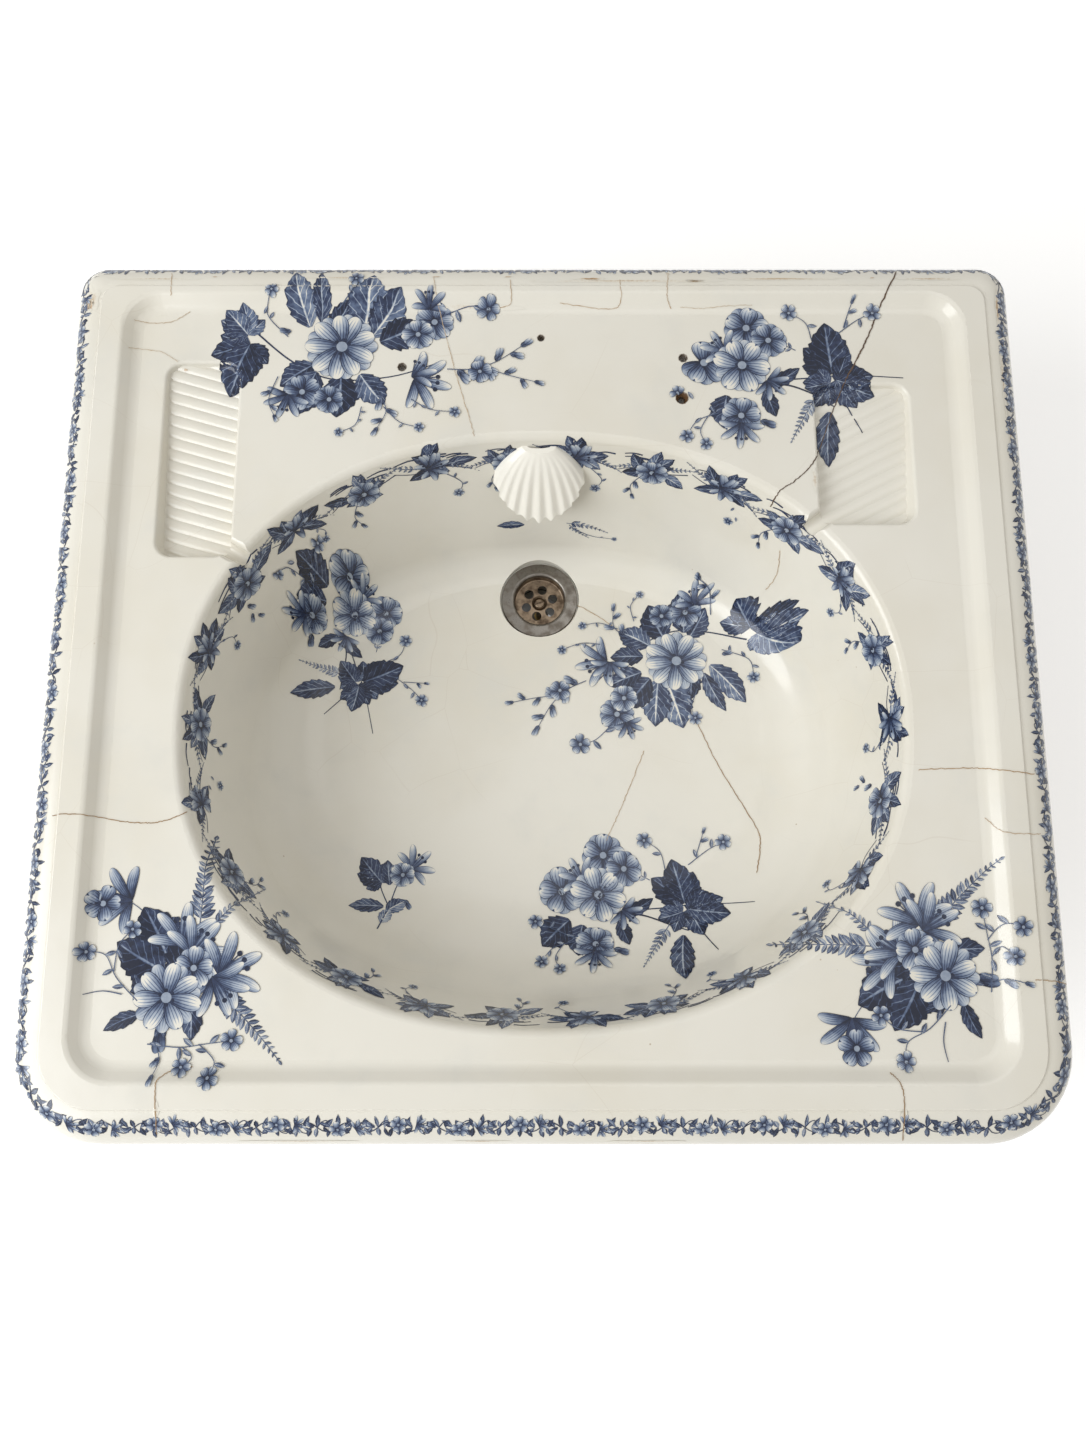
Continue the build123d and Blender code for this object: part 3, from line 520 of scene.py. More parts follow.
class Spray:
    """Draws plants on a sheet of millimetres, about one spot of it."""

    def __init__(self, ink, place, x, y, turn, size, seed, fine):
        self.ink, self.sheet, self.fine = ink, place, fine
        self.x, self.y = x, y
        self.cosine = math.cos(math.radians(turn)) * size
        self.sine = math.sin(math.radians(turn)) * size
        self.layer = 0
        self.chance = random.Random(seed)

    def place(self, x, y):
        return self.sheet(self.x + self.cosine * x - self.sine * y, self.y + self.sine * x + self.cosine * y)

    def patch(self, x, y, turn, shape, rows, columns, kind, tone):
        self.layer += 1
        rows, columns = max(3, round(rows * self.fine)), max(2, round(columns * self.fine))
        cosine, sine = math.cos(math.radians(turn)), math.sin(math.radians(turn))

        def moved(side, along):
            px, py = shape(side, along)
            return x + cosine * px - sine * py, y + sine * px + cosine * py

        self.ink.patch(self.place, self.layer, rows, columns, moved, kind, tone)

    def petal(self, x, y, turn, length, width, bend=0.0, notch=0.0, point=4.0, tone=0.0, rows=7):
        """Petal from its base: a large point keeps it round, a small one draws it to a tip."""

        def shape(side, along):
            along = math.sin(math.pi / 2 * along)
            half = width / 2 * (0.1 + 0.9 * along ** 0.7) * max(0.0, 1 - along ** point) ** 0.5
            reach = length * along * (1 - notch * (1 - abs(side)) ** 2 * along ** 5)
            return reach, side * half + bend * length * along * along

        self.patch(x, y, turn, shape, rows, 4, PETAL, tone)

    def leaf(self, x, y, turn, length, width, bend, teeth, tone):
        """Leaf with a toothed edge."""
        rows = max(6, 2 * teeth)

        def shape(side, along):
            half = width / 2 * math.sin(math.pi * min(0.995, 0.02 + 0.98 * along) ** 0.85) ** 0.9
            if teeth:
                half *= 0.9 + 0.22 * ((along * teeth) % 1.0)
            forward = length * (along + 0.05 * abs(side) * math.sin(math.pi * along))
            return forward, side * half + bend * length * along * along

        self.patch(x, y, turn, shape, rows, 4, LEAF, tone)

    def lobed(self, x, y, turn, length, tone=0.85, fine=None):
        """Dark leaf of five lobes, cut finer where it lies over a moulding."""
        usual = self.fine
        self.fine = fine or usual
        for lean, share in ((-78, 0.6), (78, 0.6), (-38, 0.8), (38, 0.8), (0, 1.0)):
            heading = turn + lean + self.chance.uniform(-10, 10)
            reach = length * share * self.chance.uniform(0.8, 1.1)
            shade = tone + self.chance.uniform(-0.14, 0.04)
            self.leaf(x, y, heading, reach, reach * 0.7, self.chance.uniform(-0.12, 0.12), 5, shade)
        self.fine = usual

    def stem(self, points, width=0.9, tone=0.7):
        """Thin curved stem through a few points."""
        path = smooth_path(points, 6)
        last = len(path) - 1

        def shape(side, along):
            index = round(along * last)
            before, after = path[max(0, index - 1)], path[min(last, index + 1)]
            run_x, run_y = after[0] - before[0], after[1] - before[1]
            size = math.hypot(run_x, run_y) or 1.0
            half = side * width / 2 * (1 - 0.4 * along)
            return path[index][0] - run_y / size * half, path[index][1] + run_x / size * half

        self.layer += 1
        self.ink.patch(self.place, self.layer, last, 1, shape, FLAT, tone)
        return path

    def dot(self, x, y, radius, tone=0.9):
        def shape(side, along):
            turn = math.pi * along
            return radius * math.cos(turn), radius * side * math.sin(turn)

        self.patch(x, y, 0, shape, 6, 2, FLAT, tone)

    def blossom(self, x, y, radius, turn=0.0, petals=5, notch=0.12, tone=0.0, back=True, point=4.0):
        """Open flower seen from above."""
        step = 360 / petals
        wide = 2 * radius * math.tan(math.pi / min(petals, 7)) * 0.8
        if back:
            for index in range(petals):
                self.petal(x, y, turn + (index + 0.5) * step, radius * 0.98, wide * 0.8, tone=tone + 0.3)
        for index in range(petals):
            swing = self.chance.uniform(-6, 6)
            self.petal(x, y, turn + index * step + swing, radius * self.chance.uniform(0.92, 1.06), wide,
                       0.04 * self.chance.uniform(-1, 1), notch, point, tone)
        self.dot(x, y, radius * 0.15, 0.32)
        for index in range(6):
            lean = math.radians(turn + 60 * index)
            reach = radius * 0.2
            self.dot(x + math.cos(lean) * reach, y + math.sin(lean) * reach, radius * 0.055, 0.95)

    def lily(self, x, y, radius, turn=0.0, tone=0.0):
        """Flower seen from the side, its petals curling out of a throat."""
        for lean, share in ((-72, 0.8), (72, 0.8), (-38, 0.95), (38, 0.95), (0, 1.0)):
            self.petal(x, y, turn + lean, radius * share, radius * 0.46, 0.0035 * lean, 0, 2.4, tone)
        for lean in (-14, 4, 20):
            heading = math.radians(turn + lean)
            tip = (x + math.cos(heading) * radius * 0.62, y + math.sin(heading) * radius * 0.62)
            self.stem([(x, y), ((x + tip[0]) / 2, (y + tip[1]) / 2), tip], radius * 0.04, 0.8)
            self.dot(*tip, radius * 0.06, 0.95)

    def bud(self, x, y, length, turn=0.0, tone=0.1):
        """Closed bud in its cup."""
        self.petal(x, y, turn - 9, length, length * 0.5, 0.05, 0, 3, tone + 0.15, 5)
        self.petal(x, y, turn + 9, length * 0.95, length * 0.46, -0.05, 0, 3, tone, 5)
        self.leaf(x, y, turn - 26, length * 0.5, length * 0.2, 0.1, 0, 0.85)
        self.leaf(x, y, turn + 26, length * 0.5, length * 0.2, -0.1, 0, 0.85)

    def raceme(self, x, y, turn, length, bend=0.0, pairs=9, tone=0.42):
        """Slender spike of small leaves that shrink to its tip."""
        heading = math.radians(turn)
        side_x, side_y = -math.sin(heading), math.cos(heading)

        def spine(along):
            reach, swing = length * along, bend * length * along * along
            spine_x = x + math.cos(heading) * reach + side_x * swing
            spine_y = y + math.sin(heading) * reach + side_y * swing
            return spine_x, spine_y

        self.stem([spine(0), spine(0.35), spine(0.7), spine(1)], 0.7, 0.6)
        for index in range(pairs):
            along = 0.12 + 0.88 * index / pairs
            size = length * 0.17 * (1.15 - along)
            lean = turn + math.degrees(math.atan(2 * bend * along))
            for side in (-1, 1):
                swing = side * self.chance.uniform(38, 60)
                shade = tone + self.chance.uniform(-0.15, 0.2)
                self.leaf(*spine(along), lean + swing, size, size * 0.42, 0, 0, shade)
        lean = turn + math.degrees(math.atan(2 * bend))
        self.leaf(*spine(0.96), lean, length * 0.06, length * 0.03, 0, 0, tone)

    def twig(self, points, flower=4.0, leaves=3, tone=0.0):
        """Thin stem with small leaves and a small flower at its end."""
        path = self.stem(points, 0.75, 0.62)
        for index in range(leaves):
            spot = path[int((index + 1) / (leaves + 1.4) * (len(path) - 1))]
            turn = self.chance.uniform(0, 360)
            self.leaf(*spot, turn, flower * 1.1, flower * 0.45, 0, 0, 0.6)
        if flower:
            self.blossom(*path[-1], flower, self.chance.uniform(0, 72), 5, 0.05, 0.5 * tone, False)

    def bells(self, points, count=4, size=5.0):
        """Curved stem with buds that hang along it."""
        path = self.stem(points, 0.75, 0.62)
        for index in range(count):
            at = int((index + 1) / count * (len(path) - 1))
            before = path[max(0, at - 1)]
            turn = math.degrees(math.atan2(path[at][1] - before[1], path[at][0] - before[0]))
            swing = 0 if index == count - 1 else (48 if index % 2 else -48)
            self.bud(*path[at], size * (1.15 - 0.35 * index / count), turn + swing, 0.12)


def smooth_path(points, steps):
    """Points along a curve through the given ones."""
    ends = [points[0]] + list(points) + [points[-1]]
    path = []
    for a, b, c, d in zip(ends, ends[1:], ends[2:], ends[3:]):
        for step in range(steps):
            t = step / steps
            spot = []
            for axis in range(2):
                curve = 2 * b[axis] + (c[axis] - a[axis]) * t
                curve += (2 * a[axis] - 5 * b[axis] + 4 * c[axis] - d[axis]) * t * t
                curve += (3 * b[axis] - a[axis] - 3 * c[axis] + d[axis]) * t ** 3
                spot.append(curve / 2)
            path.append(tuple(spot))
    path.append(tuple(points[-1]))
    return path


# Blue of the ink from its thinnest to its thickest
INK_BLUES = [
    (0.0, (0.64, 0.64, 0.62)),
    (0.2, (0.40, 0.45, 0.52)),
    (0.45, (0.118, 0.162, 0.262)),
    (0.7, (0.026, 0.041, 0.095)),
    (1.0, (0.006, 0.010, 0.028)),
]


def print_material():
    """Blue ink under the glaze: shaded petals, veined leaves and plain strokes."""
    graph = Graph("print")
    side, along, kind = graph.parts(graph.attribute("stroke", "Vector"))
    tone = graph.attribute("tone", "Fac")
    flank = graph.math("ABSOLUTE", side)
    edge = graph.math("MAXIMUM", graph.step(flank, 0.86, 0.97), graph.step(along, 0.89, 0.97))

    root = graph.math("POWER", graph.math("SUBTRACT", 1.0, along, True), 2.5)
    waves = graph.math("ADD", graph.math("MULTIPLY", side, 17.0), graph.math("MULTIPLY", along, 2.0))
    rays = graph.math("MULTIPLY", graph.step(graph.math("SINE", waves), 0.3, 0.95),
                      graph.step(along, 0.3, 0.9, 1, 0))
    petal = graph.math("ADD", graph.math("MULTIPLY", tone, 0.6), graph.math("MULTIPLY", root, 0.92))
    petal = graph.math("ADD", petal, graph.math("MULTIPLY", rays, 0.32))
    petal = graph.math("ADD", petal, graph.step(side, -1.0, 0.1, 0.24, -0.04))
    petal = graph.math("ADD", petal, graph.math("MULTIPLY", edge, 0.62))

    midrib = graph.step(flank, 0.03, 0.10, 1, 0)
    slant = graph.math("SUBTRACT", graph.math("MULTIPLY", along, 6.0), graph.math("MULTIPLY", flank, 1.7))
    veins = graph.step(graph.math("FRACT", slant), 0.05, 0.17, 1, 0)
    veins = graph.math("MAXIMUM", midrib, graph.math("MULTIPLY", veins, 0.75))
    leaf = graph.math("SUBTRACT", tone, graph.math("MULTIPLY", veins, 0.52))
    leaf = graph.math("ADD", leaf, graph.step(graph.noise(150, 2), 0.3, 0.7, -0.08, 0.17))
    leaf = graph.math("ADD", leaf, graph.step(side, -0.15, 0.15, -0.14, 0.06))
    leaf = graph.math("ADD", leaf, graph.math("MULTIPLY", edge, 0.22))

    leafy = graph.blend(graph.step(kind, 0.4, 0.6), petal, leaf)
    ink = graph.blend(graph.step(kind, 1.4, 1.6), leafy, tone)
    uneven = graph.step(graph.noise(240, 4, 0.6), 0.25, 0.75, 0.8, 1.1)
    density = graph.math("MULTIPLY", ink, uneven, True)
    colour = graph.mix(graph.step(density, 0.02, 0.16), glaze_colour(graph), graph.ramp(density, INK_BLUES))
    graph.put(graph.shader.inputs["Base Color"], colour)
    glaze_finish(graph)
    return graph.material


def long_spray(s):
    """Wide bunch: an open flower among dark leaves, trailing off to one side."""
    s.stem([(-68, 14), (-42, -8), (-12, -22), (30, -20), (62, -10)], 1.3, 0.85)
    s.leaf(-30, 20, 112, 44, 22, -0.12, 6, 0.6)
    s.leaf(-22, 24, 84, 38, 14, 0.12, 6, 0.75)
    s.leaf(-16, 16, 52, 28, 17, 0.1, 5, 0.85)
    s.leaf(10, 14, 84, 46, 30, -0.05, 9, 0.55)
    s.leaf(16, 12, 56, 42, 26, 0.05, 8, 0.66)
    s.leaf(22, 8, 22, 34, 26, 0.05, 6, 0.95)
    s.leaf(26, 0, -8, 30, 20, 0.1, 6, 0.85)
    s.leaf(-26, -10, -150, 30, 20, 0.1, 6, 0.85)
    s.leaf(-24, -16, -118, 36, 26, 0.12, 6, 0.8)
    s.leaf(-6, -18, -88, 34, 28, -0.1, 7, 0.9)
    s.leaf(8, -18, -58, 30, 22, 0.1, 6, 0.7)
    s.leaf(18, -12, -30, 28, 18, 0.1, 6, 0.92)
    s.lobed(-74, 6, 236, 38, 0.9, 3.0)
    s.lobed(-76, 14, 124, 28, 0.66, 3.0)
    s.blossom(-34, -32, 14, 40, 5, 0.2, 0.3)
    s.lily(-44, -34, 20, -112, 0.22)
    s.blossom(-14, -38, 11, 10, 5, 0.15, 0.3)
    s.blossom(62, 24, 15, 10, 6, 0.1, 0.16)
    s.blossom(50, 14, 12, 30, 5, 0.1, 0.12)
    s.lily(58, 34, 16, 84, 0.2)
    s.lily(48, -22, 28, -14, 0.06)
    s.lily(46, -20, 20, 60, 0.1)
    s.blossom(-6, 4, 27, 20, 9, 0.0, -0.05, True, 2.6)
    s.twig([(70, 30), (88, 36), (102, 34)], 9, 2, 0.35)
    s.twig([(-46, 12), (-62, 30), (-58, 46)], 5.5, 3, 0.2)
    s.twig([(-10, 34), (2, 46), (4, 56)], 6, 1, 0.3)
    s.bud(-44, 16, 9, 170, 0.4)
    s.bells([(72, -14), (90, -14), (108, -8), (126, 4)], 6, 12)
    s.bells([(94, -10), (114, -18), (136, -24)], 4, 9)
    s.blossom(96, -16, 9, 20, 4, 0.1, 0.2, False)
    s.bells([(20, -30), (28, -46), (22, -60)], 4, 9)
    s.bells([(-52, -20), (-58, -38), (-54, -50)], 3, 7)
    s.twig([(46, -38), (60, -46), (78, -48)], 4.4, 3, 0.3)
    s.twig([(26, -44), (38, -56), (52, -60)], 4, 2, 0.25)
    s.twig([(10, -44), (6, -58), (-6, -64)], 3.6, 3, 0.3)


def pair_spray(s):
    """Cluster of flowers beside one large dark leaf, joined by a stem."""
    s.stem([(-22, -4), (2, -6), (22, -14), (36, -20)], 1.5, 0.95)
    s.stem([(-8, -2), (20, 0), (46, 2), (86, 0)], 1.1, 0.85)
    s.stem([(34, 2), (44, -18), (56, -40)], 1.2, 0.9)
    s.raceme(8, 22, 152, 30, 0.1, 7, 0.45)
    s.raceme(22, -14, 238, 42, 0.05, 10, 0.5)
    s.leaf(-54, -10, 222, 30, 26, 0.1, 6, 0.95)
    s.leaf(-44, -14, 258, 26, 22, 0.1, 6, 0.9)
    s.leaf(-12, -6, 26, 26, 11, 0.1, 4, 0.95)
    s.leaf(-16, -10, 290, 22, 12, 0, 4, 0.95)
    s.leaf(32, -24, 262, 42, 18, 0.1, 6, 0.8)
    s.lobed(34, 4, 96, 37, 0.98, 3.0)
    s.lobed(37, -2, -18, 32, 0.9, 3.0)
    s.lobed(32, -4, 206, 24, 0.84, 3.0)
    s.blossom(-28, 40, 17, 10, 5, 0.15, 0.16)
    s.blossom(-12, 30, 14, 40, 5, 0.1, 0.2)
    s.blossom(-60, 12, 18, 25, 5, 0.15, 0.14)
    s.lily(-44, 20, 20, 120, 0.1)
    s.blossom(-32, 10, 21, 50, 6, 0.12, -0.06)
    s.lily(-14, -2, 17, -40, 0.18)
    s.blossom(-34, -30, 15, 8, 5, 0.12, 0.16)
    s.lily(-34, -36, 20, -96, 0.1)
    s.bud(-20, -34, 12, -20, 0.5)
    s.twig([(20, 30), (16, 44), (4, 52)], 6.5, 1, 0.25)
    s.twig([(38, 34), (54, 46), (66, 52)], 6.5, 2, 0.25)
    s.bells([(44, 40), (48, 52), (50, 58)], 2, 6)
    s.twig([(-48, -26), (-66, -18), (-80, -12)], 6, 2, 0.25)
    s.twig([(-50, -28), (-66, -34), (-74, -46)], 5.5, 2, 0.3)
    s.twig([(-58, -30), (-64, -42), (-60, -52)], 5, 1, 0.3)


def corner_spray(s):
    """Round bunch with two flower spikes and small flowers on thin stems."""
    s.raceme(12, 24, 86, 60, 0.06, 13, 0.6)
    s.raceme(26, -14, -42, 60, -0.08, 13, 0.6)
    s.raceme(20, 26, 44, 32, 0.1, 8, 0.5)
    s.twig([(-16, 0), (-26, 18), (-22, 32), (-34, 42)], 0, 2)
    s.lily(-32, 42, 26, 172, 0.22)
    s.blossom(-50, 40, 12, 0, 5, 0.2, 0.25, False)
    s.leaf(-6, 4, 112, 38, 30, 0.1, 8, 0.95)
    s.leaf(-8, -2, 156, 36, 26, -0.1, 7, 0.98)
    s.leaf(-2, -8, 66, 36, 26, 0, 6, 0.95)
    s.leaf(-6, -8, 196, 24, 14, 0, 5, 0.9)
    s.leaf(-22, -28, 196, 24, 10, 0.15, 4, 0.95)
    s.leaf(-20, -22, 112, 20, 8, 0, 3, 0.85)
    s.leaf(10, -18, -88, 26, 14, 0, 5, 0.85)
    s.bud(-8, -34, 18, -94, 0.6)
    s.lily(2, 14, 27, 84, 0.08)
    s.lily(8, 8, 26, 50, 0.06)
    s.lily(26, -4, 29, 26, 0.1)
    s.lily(22, -6, 26, -62, 0.1)
    s.blossom(10, 0, 13, 10, 5, 0.1, 0.12)
    s.blossom(-6, -18, 22, 34, 7, 0.05, -0.05, True, 3.0)
    s.twig([(-24, -20), (-38, -6), (-46, 8), (-58, 10)], 6.5, 3, 0.25)
    s.twig([(-40, -2), (-38, 14), (-30, 24)], 6, 1, 0.4)
    s.stem([(-34, -16), (-46, -14), (-58, -16)], 0.8, 0.65)
    s.twig([(-16, -46), (4, -48), (20, -46), (36, -44)], 7, 4, 0.3)
    s.twig([(16, -46), (26, -56), (24, -66)], 6.5, 2, 0.3)
    s.twig([(6, -48), (12, -54), (6, -60)], 6, 1, 0.25)
    s.bells([(-12, -44), (-8, -54), (-10, -64)], 2, 7)


def sprig(s):
    """Small sprig of two flowers and a few leaves."""
    s.stem([(-10, -34), (-2, -14), (4, 4), (12, 16)], 1.1, 0.75)
    s.stem([(-2, -14), (-8, 0), (-10, 12)], 1.0, 0.75)
    s.leaf(-6, -14, 176, 26, 12, 0.12, 5, 0.72)
    s.leaf(-4, -18, 38, 18, 12, -0.1, 5, 0.6)
    s.leaf(-8, -28, 60, 14, 10, 0, 4, 0.4)
    s.lobed(-8, 6, 128, 24, 0.92)
    s.leaf(-2, 4, 96, 20, 12, 0, 4, 0.8)
    s.lily(14, 16, 20, 40, 0.05)
    s.blossom(8, 12, 10, 0, 5, 0.1, 0.12)
    s.bud(10, -8, 9, -60, 0.5)


def under_shell_sprig(s):
    """Broken tip of a garland below the shell."""
    s.leaf(-22, 6, 172, 22, 9, 0.08, 4, 0.7)
    s.raceme(12, 6, -8, 34, -0.18, 8, 0.55)
    s.raceme(14, 4, -58, 22, 0.2, 6, 0.6)
    s.twig([(16, 0), (32, -10), (50, -12)], 2.6, 3, 0.3)


# Garland on the bowl's wall and border on the rolled edge: counts, places in millimetres, and fineness
GARLAND_REPEATS = 26
GARLAND_DROP = 23
GARLAND_FINE = 0.8
BORDER_PAIR_PITCH = 26
BORDER_FINE = 0.5


def garland(ink, seed):
    """Band of flowers and leaves that hangs from the lip round the bowl's wall."""
    chance = random.Random(seed)
    pitch = OVAL_LENGTHS[-1] / GARLAND_REPEATS
    for index in range(GARLAND_REPEATS):
        size = chance.uniform(0.85, 1.1)
        level = -GARLAND_DROP + 2 * chance.uniform(-1, 1)
        s = Spray(ink, wall_place, pitch * index, level, 0, size, seed + index, GARLAND_FINE)
        lift = 5 * (-1) ** index
        for _ in range(5):
            begin, height = chance.uniform(-0.5, 0.3) * pitch, chance.uniform(9, 15.5)
            end = begin + chance.uniform(12, 20)
            s.stem([(begin, height), (begin + 7, height + 0.6), (end, height - 1)], 1.5, 0.8)
        quarter = pitch / 4
        vine = [(-2 * quarter, -lift), (-quarter, 0), (0, lift / 2), (quarter, 0), (2 * quarter, lift)]
        s.stem(vine, 1.0, 0.8)
        for lean in (158, 205, 22, -28, 92, 60, 124):
            turn = lean + chance.uniform(-12, 12)
            reach, length, width = chance.uniform(-9, 9), chance.uniform(18, 26), chance.uniform(9, 12)
            s.leaf(reach, lift / 2, turn, length, width, 0.1, 5, chance.uniform(0.6, 0.95))
        s.raceme(pitch * 0.2, 4, 22 * (-1) ** index, 26, 0.1, 6, 0.65)
        s.raceme(-pitch * 0.2, 4, 180 + 24 * (-1) ** index, 24, 0.1, 6, 0.65)
        if index % 2:
            s.blossom(0, lift / 2, 13, chance.uniform(0, 72), 6, 0.1, 0.2)
            s.bells([(6, -6), (14, -20), (12, -30)], 3, 8)
        else:
            s.lily(-4, lift / 2, 17, 14, 0.2)
            s.lily(4, lift / 2, 17, 166, 0.24)
            s.twig([(-8, -6), (-18, -18), (-14, -28)], 4.5, 2, 0.25)


def border(ink, seed):
    """Narrow running border of leaves and small flowers on the rolled edge."""
    chance = random.Random(seed)
    repeats = 2 * round(EDGE_LENGTH / BORDER_PAIR_PITCH)
    pitch = EDGE_LENGTH / repeats
    for index in range(repeats):
        s = Spray(ink, roll_place, pitch * index, 0, 0, 1.0, seed + index, BORDER_FINE)
        wave = 3.4 * (-1) ** index
        quarter, bend = pitch / 4, 0.7 * wave
        vine = [(-2 * quarter, -wave), (-quarter, -bend), (0, 0), (quarter, bend), (2 * quarter, wave)]
        s.stem(vine, 0.9, 0.85)
        for reach, lean in ((-4, 128), (-4, 236), (4, 52), (4, -56), (0, 92), (0, -88)):
            turn = lean + chance.uniform(-26, 26)
            length, width = chance.uniform(4.5, 9), chance.uniform(2.4, 3.8)
            s.leaf(reach, 0, turn, length, width, 0.12, 0, chance.uniform(0.55, 1.0))
        curl = chance.choice((-1, 1))
        s.stem([(0, 0), (3, 3.6 * curl), (6, 4.6 * curl), (7, 2.6 * curl), (5.4, 2.2 * curl)], 0.7, 0.8)
        if index % 3 == 0:
            s.blossom(0, -wave / 2, 5.8, chance.uniform(0, 72), 5, 0.1, 0.1, False)
        elif index % 3 == 1:
            s.lily(-1.5, wave / 2, 7.6, 8 + 20 * curl, 0.15)
        else:
            s.bud(-2, 0, 6, 150 * curl, 0.35)


# Wear: cracks, stains and chips in the glaze
def wear_material(name, stops, ragged):
    """Glaze that turns to other colours where the wear is strong."""
    graph = Graph(name)
    amount = graph.attribute("tone", "Fac")
    grain = graph.math("MULTIPLY", graph.math("SUBTRACT", graph.noise(420, 4, 0.7), 0.5), ragged)
    density = graph.math("ADD", amount, grain, True)
    colour = graph.mix(graph.step(density, 0.04, 0.5), glaze_colour(graph), graph.ramp(density, stops))
    graph.put(graph.shader.inputs["Base Color"], colour)
    glaze_finish(graph)
    return graph.material


def crack(ink, pixels, width, tone):
    """Hairline through pixels of the photograph, drawn as a thin ribbon on the glaze."""
    chance = random.Random(round(pixels[0][0]))
    path = smooth_path(pixels, CRACK_STEPS)
    path = [(x + chance.uniform(-0.5, 0.5), y + chance.uniform(-0.5, 0.5)) for x, y in path]
    spots = [spot for spot in (seen_at(*pixel) for pixel in path) if spot[0]]
    last = len(spots) - 1
    halves = [width / 2 * chance.uniform(0.75, 1.2) for _ in spots]

    def place(along, side):
        index = round(along * last)
        point, normal = spots[index]
        run = spots[min(last, index + 1)][0] - spots[max(0, index - 1)][0]
        across = normal.cross(run).normalized()
        return point + across * side * halves[index] * MM, normal

    ink.patch(place, CRACK_LAYER, last, 1, lambda side, along: (along, side), FLAT, tone)


def blot(ink, column, row, width, height, tone, rings=5, spokes=14):
    """Ragged spot of wear that fades to its edge."""
    place = flat_place(column, row)
    chance = random.Random(round(column * 7 + row))
    reach = [chance.uniform(0.7, 1.1) for _ in range(spokes)]
    first = len(ink.points)
    for ring in range(rings + 1):
        for spoke in range(spokes):
            turn = 2 * math.pi * spoke / spokes
            share = ring / rings * reach[spoke]
            point, normal = place(width / 2 * share * math.cos(turn), height / 2 * share * math.sin(turn))
            if point is None:
                point, normal = place(0, 0)
            ink.points.append(point + normal * INK_LIFT * MM)
            ink.strokes.append((0, 0, FLAT))
            ink.tones.append(tone * (1 - ring / rings))
    for ring in range(rings):
        for spoke in range(spokes):
            near, far = first + ring * spokes, first + (ring + 1) * spokes
            after = (spoke + 1) % spokes
            ink.faces.append((near + spoke, far + spoke, far + after, near + after))


# Cracks by a few pixels of the photograph, width in millimetres and tone
CRACKS = [
    ([(896, 273), (879, 308), (869, 334), (859, 355), (846, 379)], 1.05, 1.0),
    ([(846, 379), (834, 408), (815, 459), (796, 480), (780, 491), (771, 506)], 0.75, 1.0),
    ([(52, 816), (75, 814), (121, 821), (143, 823), (164, 821), (187, 812)], 0.55, 0.6),
    ([(157, 1134), (155, 1089), (161, 1077), (179, 1068), (192, 1067)], 0.55, 0.55),
    ([(903, 1140), (904, 1099), (900, 1083), (890, 1073)], 0.6, 0.65),
    ([(918, 770), (961, 768), (990, 769), (1034, 774)], 0.55, 0.5),
    ([(695, 718), (718, 765), (740, 801), (758, 831), (760, 848), (757, 873)], 0.65, 0.6),
    ([(644, 751), (630, 786), (617, 817), (606, 841)], 0.5, 0.4),
    ([(780, 550), (777, 574), (766, 590)], 0.5, 0.4),
    ([(577, 605), (597, 616), (617, 630)], 0.5, 0.45),
    ([(1035, 980), (1052, 981), (1066, 984)], 0.5, 0.5),
    ([(985, 818), (1005, 832), (1040, 834)], 0.45, 0.4),
    ([(434, 278), (438, 303), (452, 360), (470, 420), (474, 436)], 0.45, 0.35),
    ([(172, 274), (171, 296)], 0.45, 0.45),
    ([(510, 280), (510, 304), (490, 309)], 0.45, 0.4),
    ([(620, 280), (620, 304), (604, 309), (560, 303)], 0.45, 0.4),
    ([(668, 276), (667, 296), (671, 309)], 0.45, 0.4),
    ([(680, 307), (702, 308.5), (726, 306), (752, 305)], 0.4, 0.28),
    ([(134, 320), (150, 323), (172, 322), (190, 312)], 0.45, 0.35),
    ([(128, 348), (160, 352), (178, 362)], 0.45, 0.3),
]
# Stains and chips by pixel of the photograph, width and height in millimetres, and tone
STAINS = [
    (620, 281, 150, 3, 0.35), (470, 307, 90, 6, 0.24), (780, 279, 110, 3, 0.45), (590, 279, 26, 3, 0.7),
    (930, 279, 60, 3, 0.4), (997, 308, 4, 40, 0.5), (1003, 380, 3, 60, 0.4), (92, 300, 14, 22, 0.35),
    (160, 279, 70, 3, 0.3), (345, 278, 60, 3, 0.35), (695, 281, 20, 3, 0.6), (815, 480, 5, 22, 0.3),
    (904, 1120, 5, 16, 0.4), (156, 1112, 4, 14, 0.35), (1010, 430, 3, 50, 0.4), (650, 1141, 60, 2.4, 0.35),
    (300, 1141, 90, 2.4, 0.35), (480, 1141, 40, 2.4, 0.45),
]
CHIPS = [
    (90, 305, 7, 11, 1.0), (186, 370, 4.5, 3, 0.8), (360, 277, 6, 1.8, 0.9), (508, 277, 7, 1.8, 0.9),
    (436, 277, 8, 1.6, 0.9), (668, 274, 4, 1.8, 0.9), (215, 277, 5, 1.8, 0.8), (872, 278, 4, 1.6, 0.8),
]
STAIN_BROWNS = [(0.0, (0.62, 0.52, 0.36)), (0.45, (0.42, 0.26, 0.12)), (1.0, (0.09, 0.05, 0.028))]
CHIP_BROWNS = [
    (0.0, (0.30, 0.18, 0.09)),
    (0.4, (0.46, 0.31, 0.18)),
    (0.7, (0.68, 0.55, 0.40)),
    (1.0, (0.74, 0.64, 0.52)),
]
stained = wear_material("stain", STAIN_BROWNS, 0.55)
chipped = wear_material("chip", CHIP_BROWNS, 0.4)
cracks = Ink("cracks", stained)
for pixels, width, tone in CRACKS:
    crack(cracks, pixels, width, tone)
cracks.finish()
stains = Ink("stains", stained)
for spot in STAINS:
    blot(stains, *spot)
stains.finish()
chips = Ink("chips", chipped)
for spot in CHIPS:
    blot(chips, *spot)
chips.finish()

print_ink = print_material()
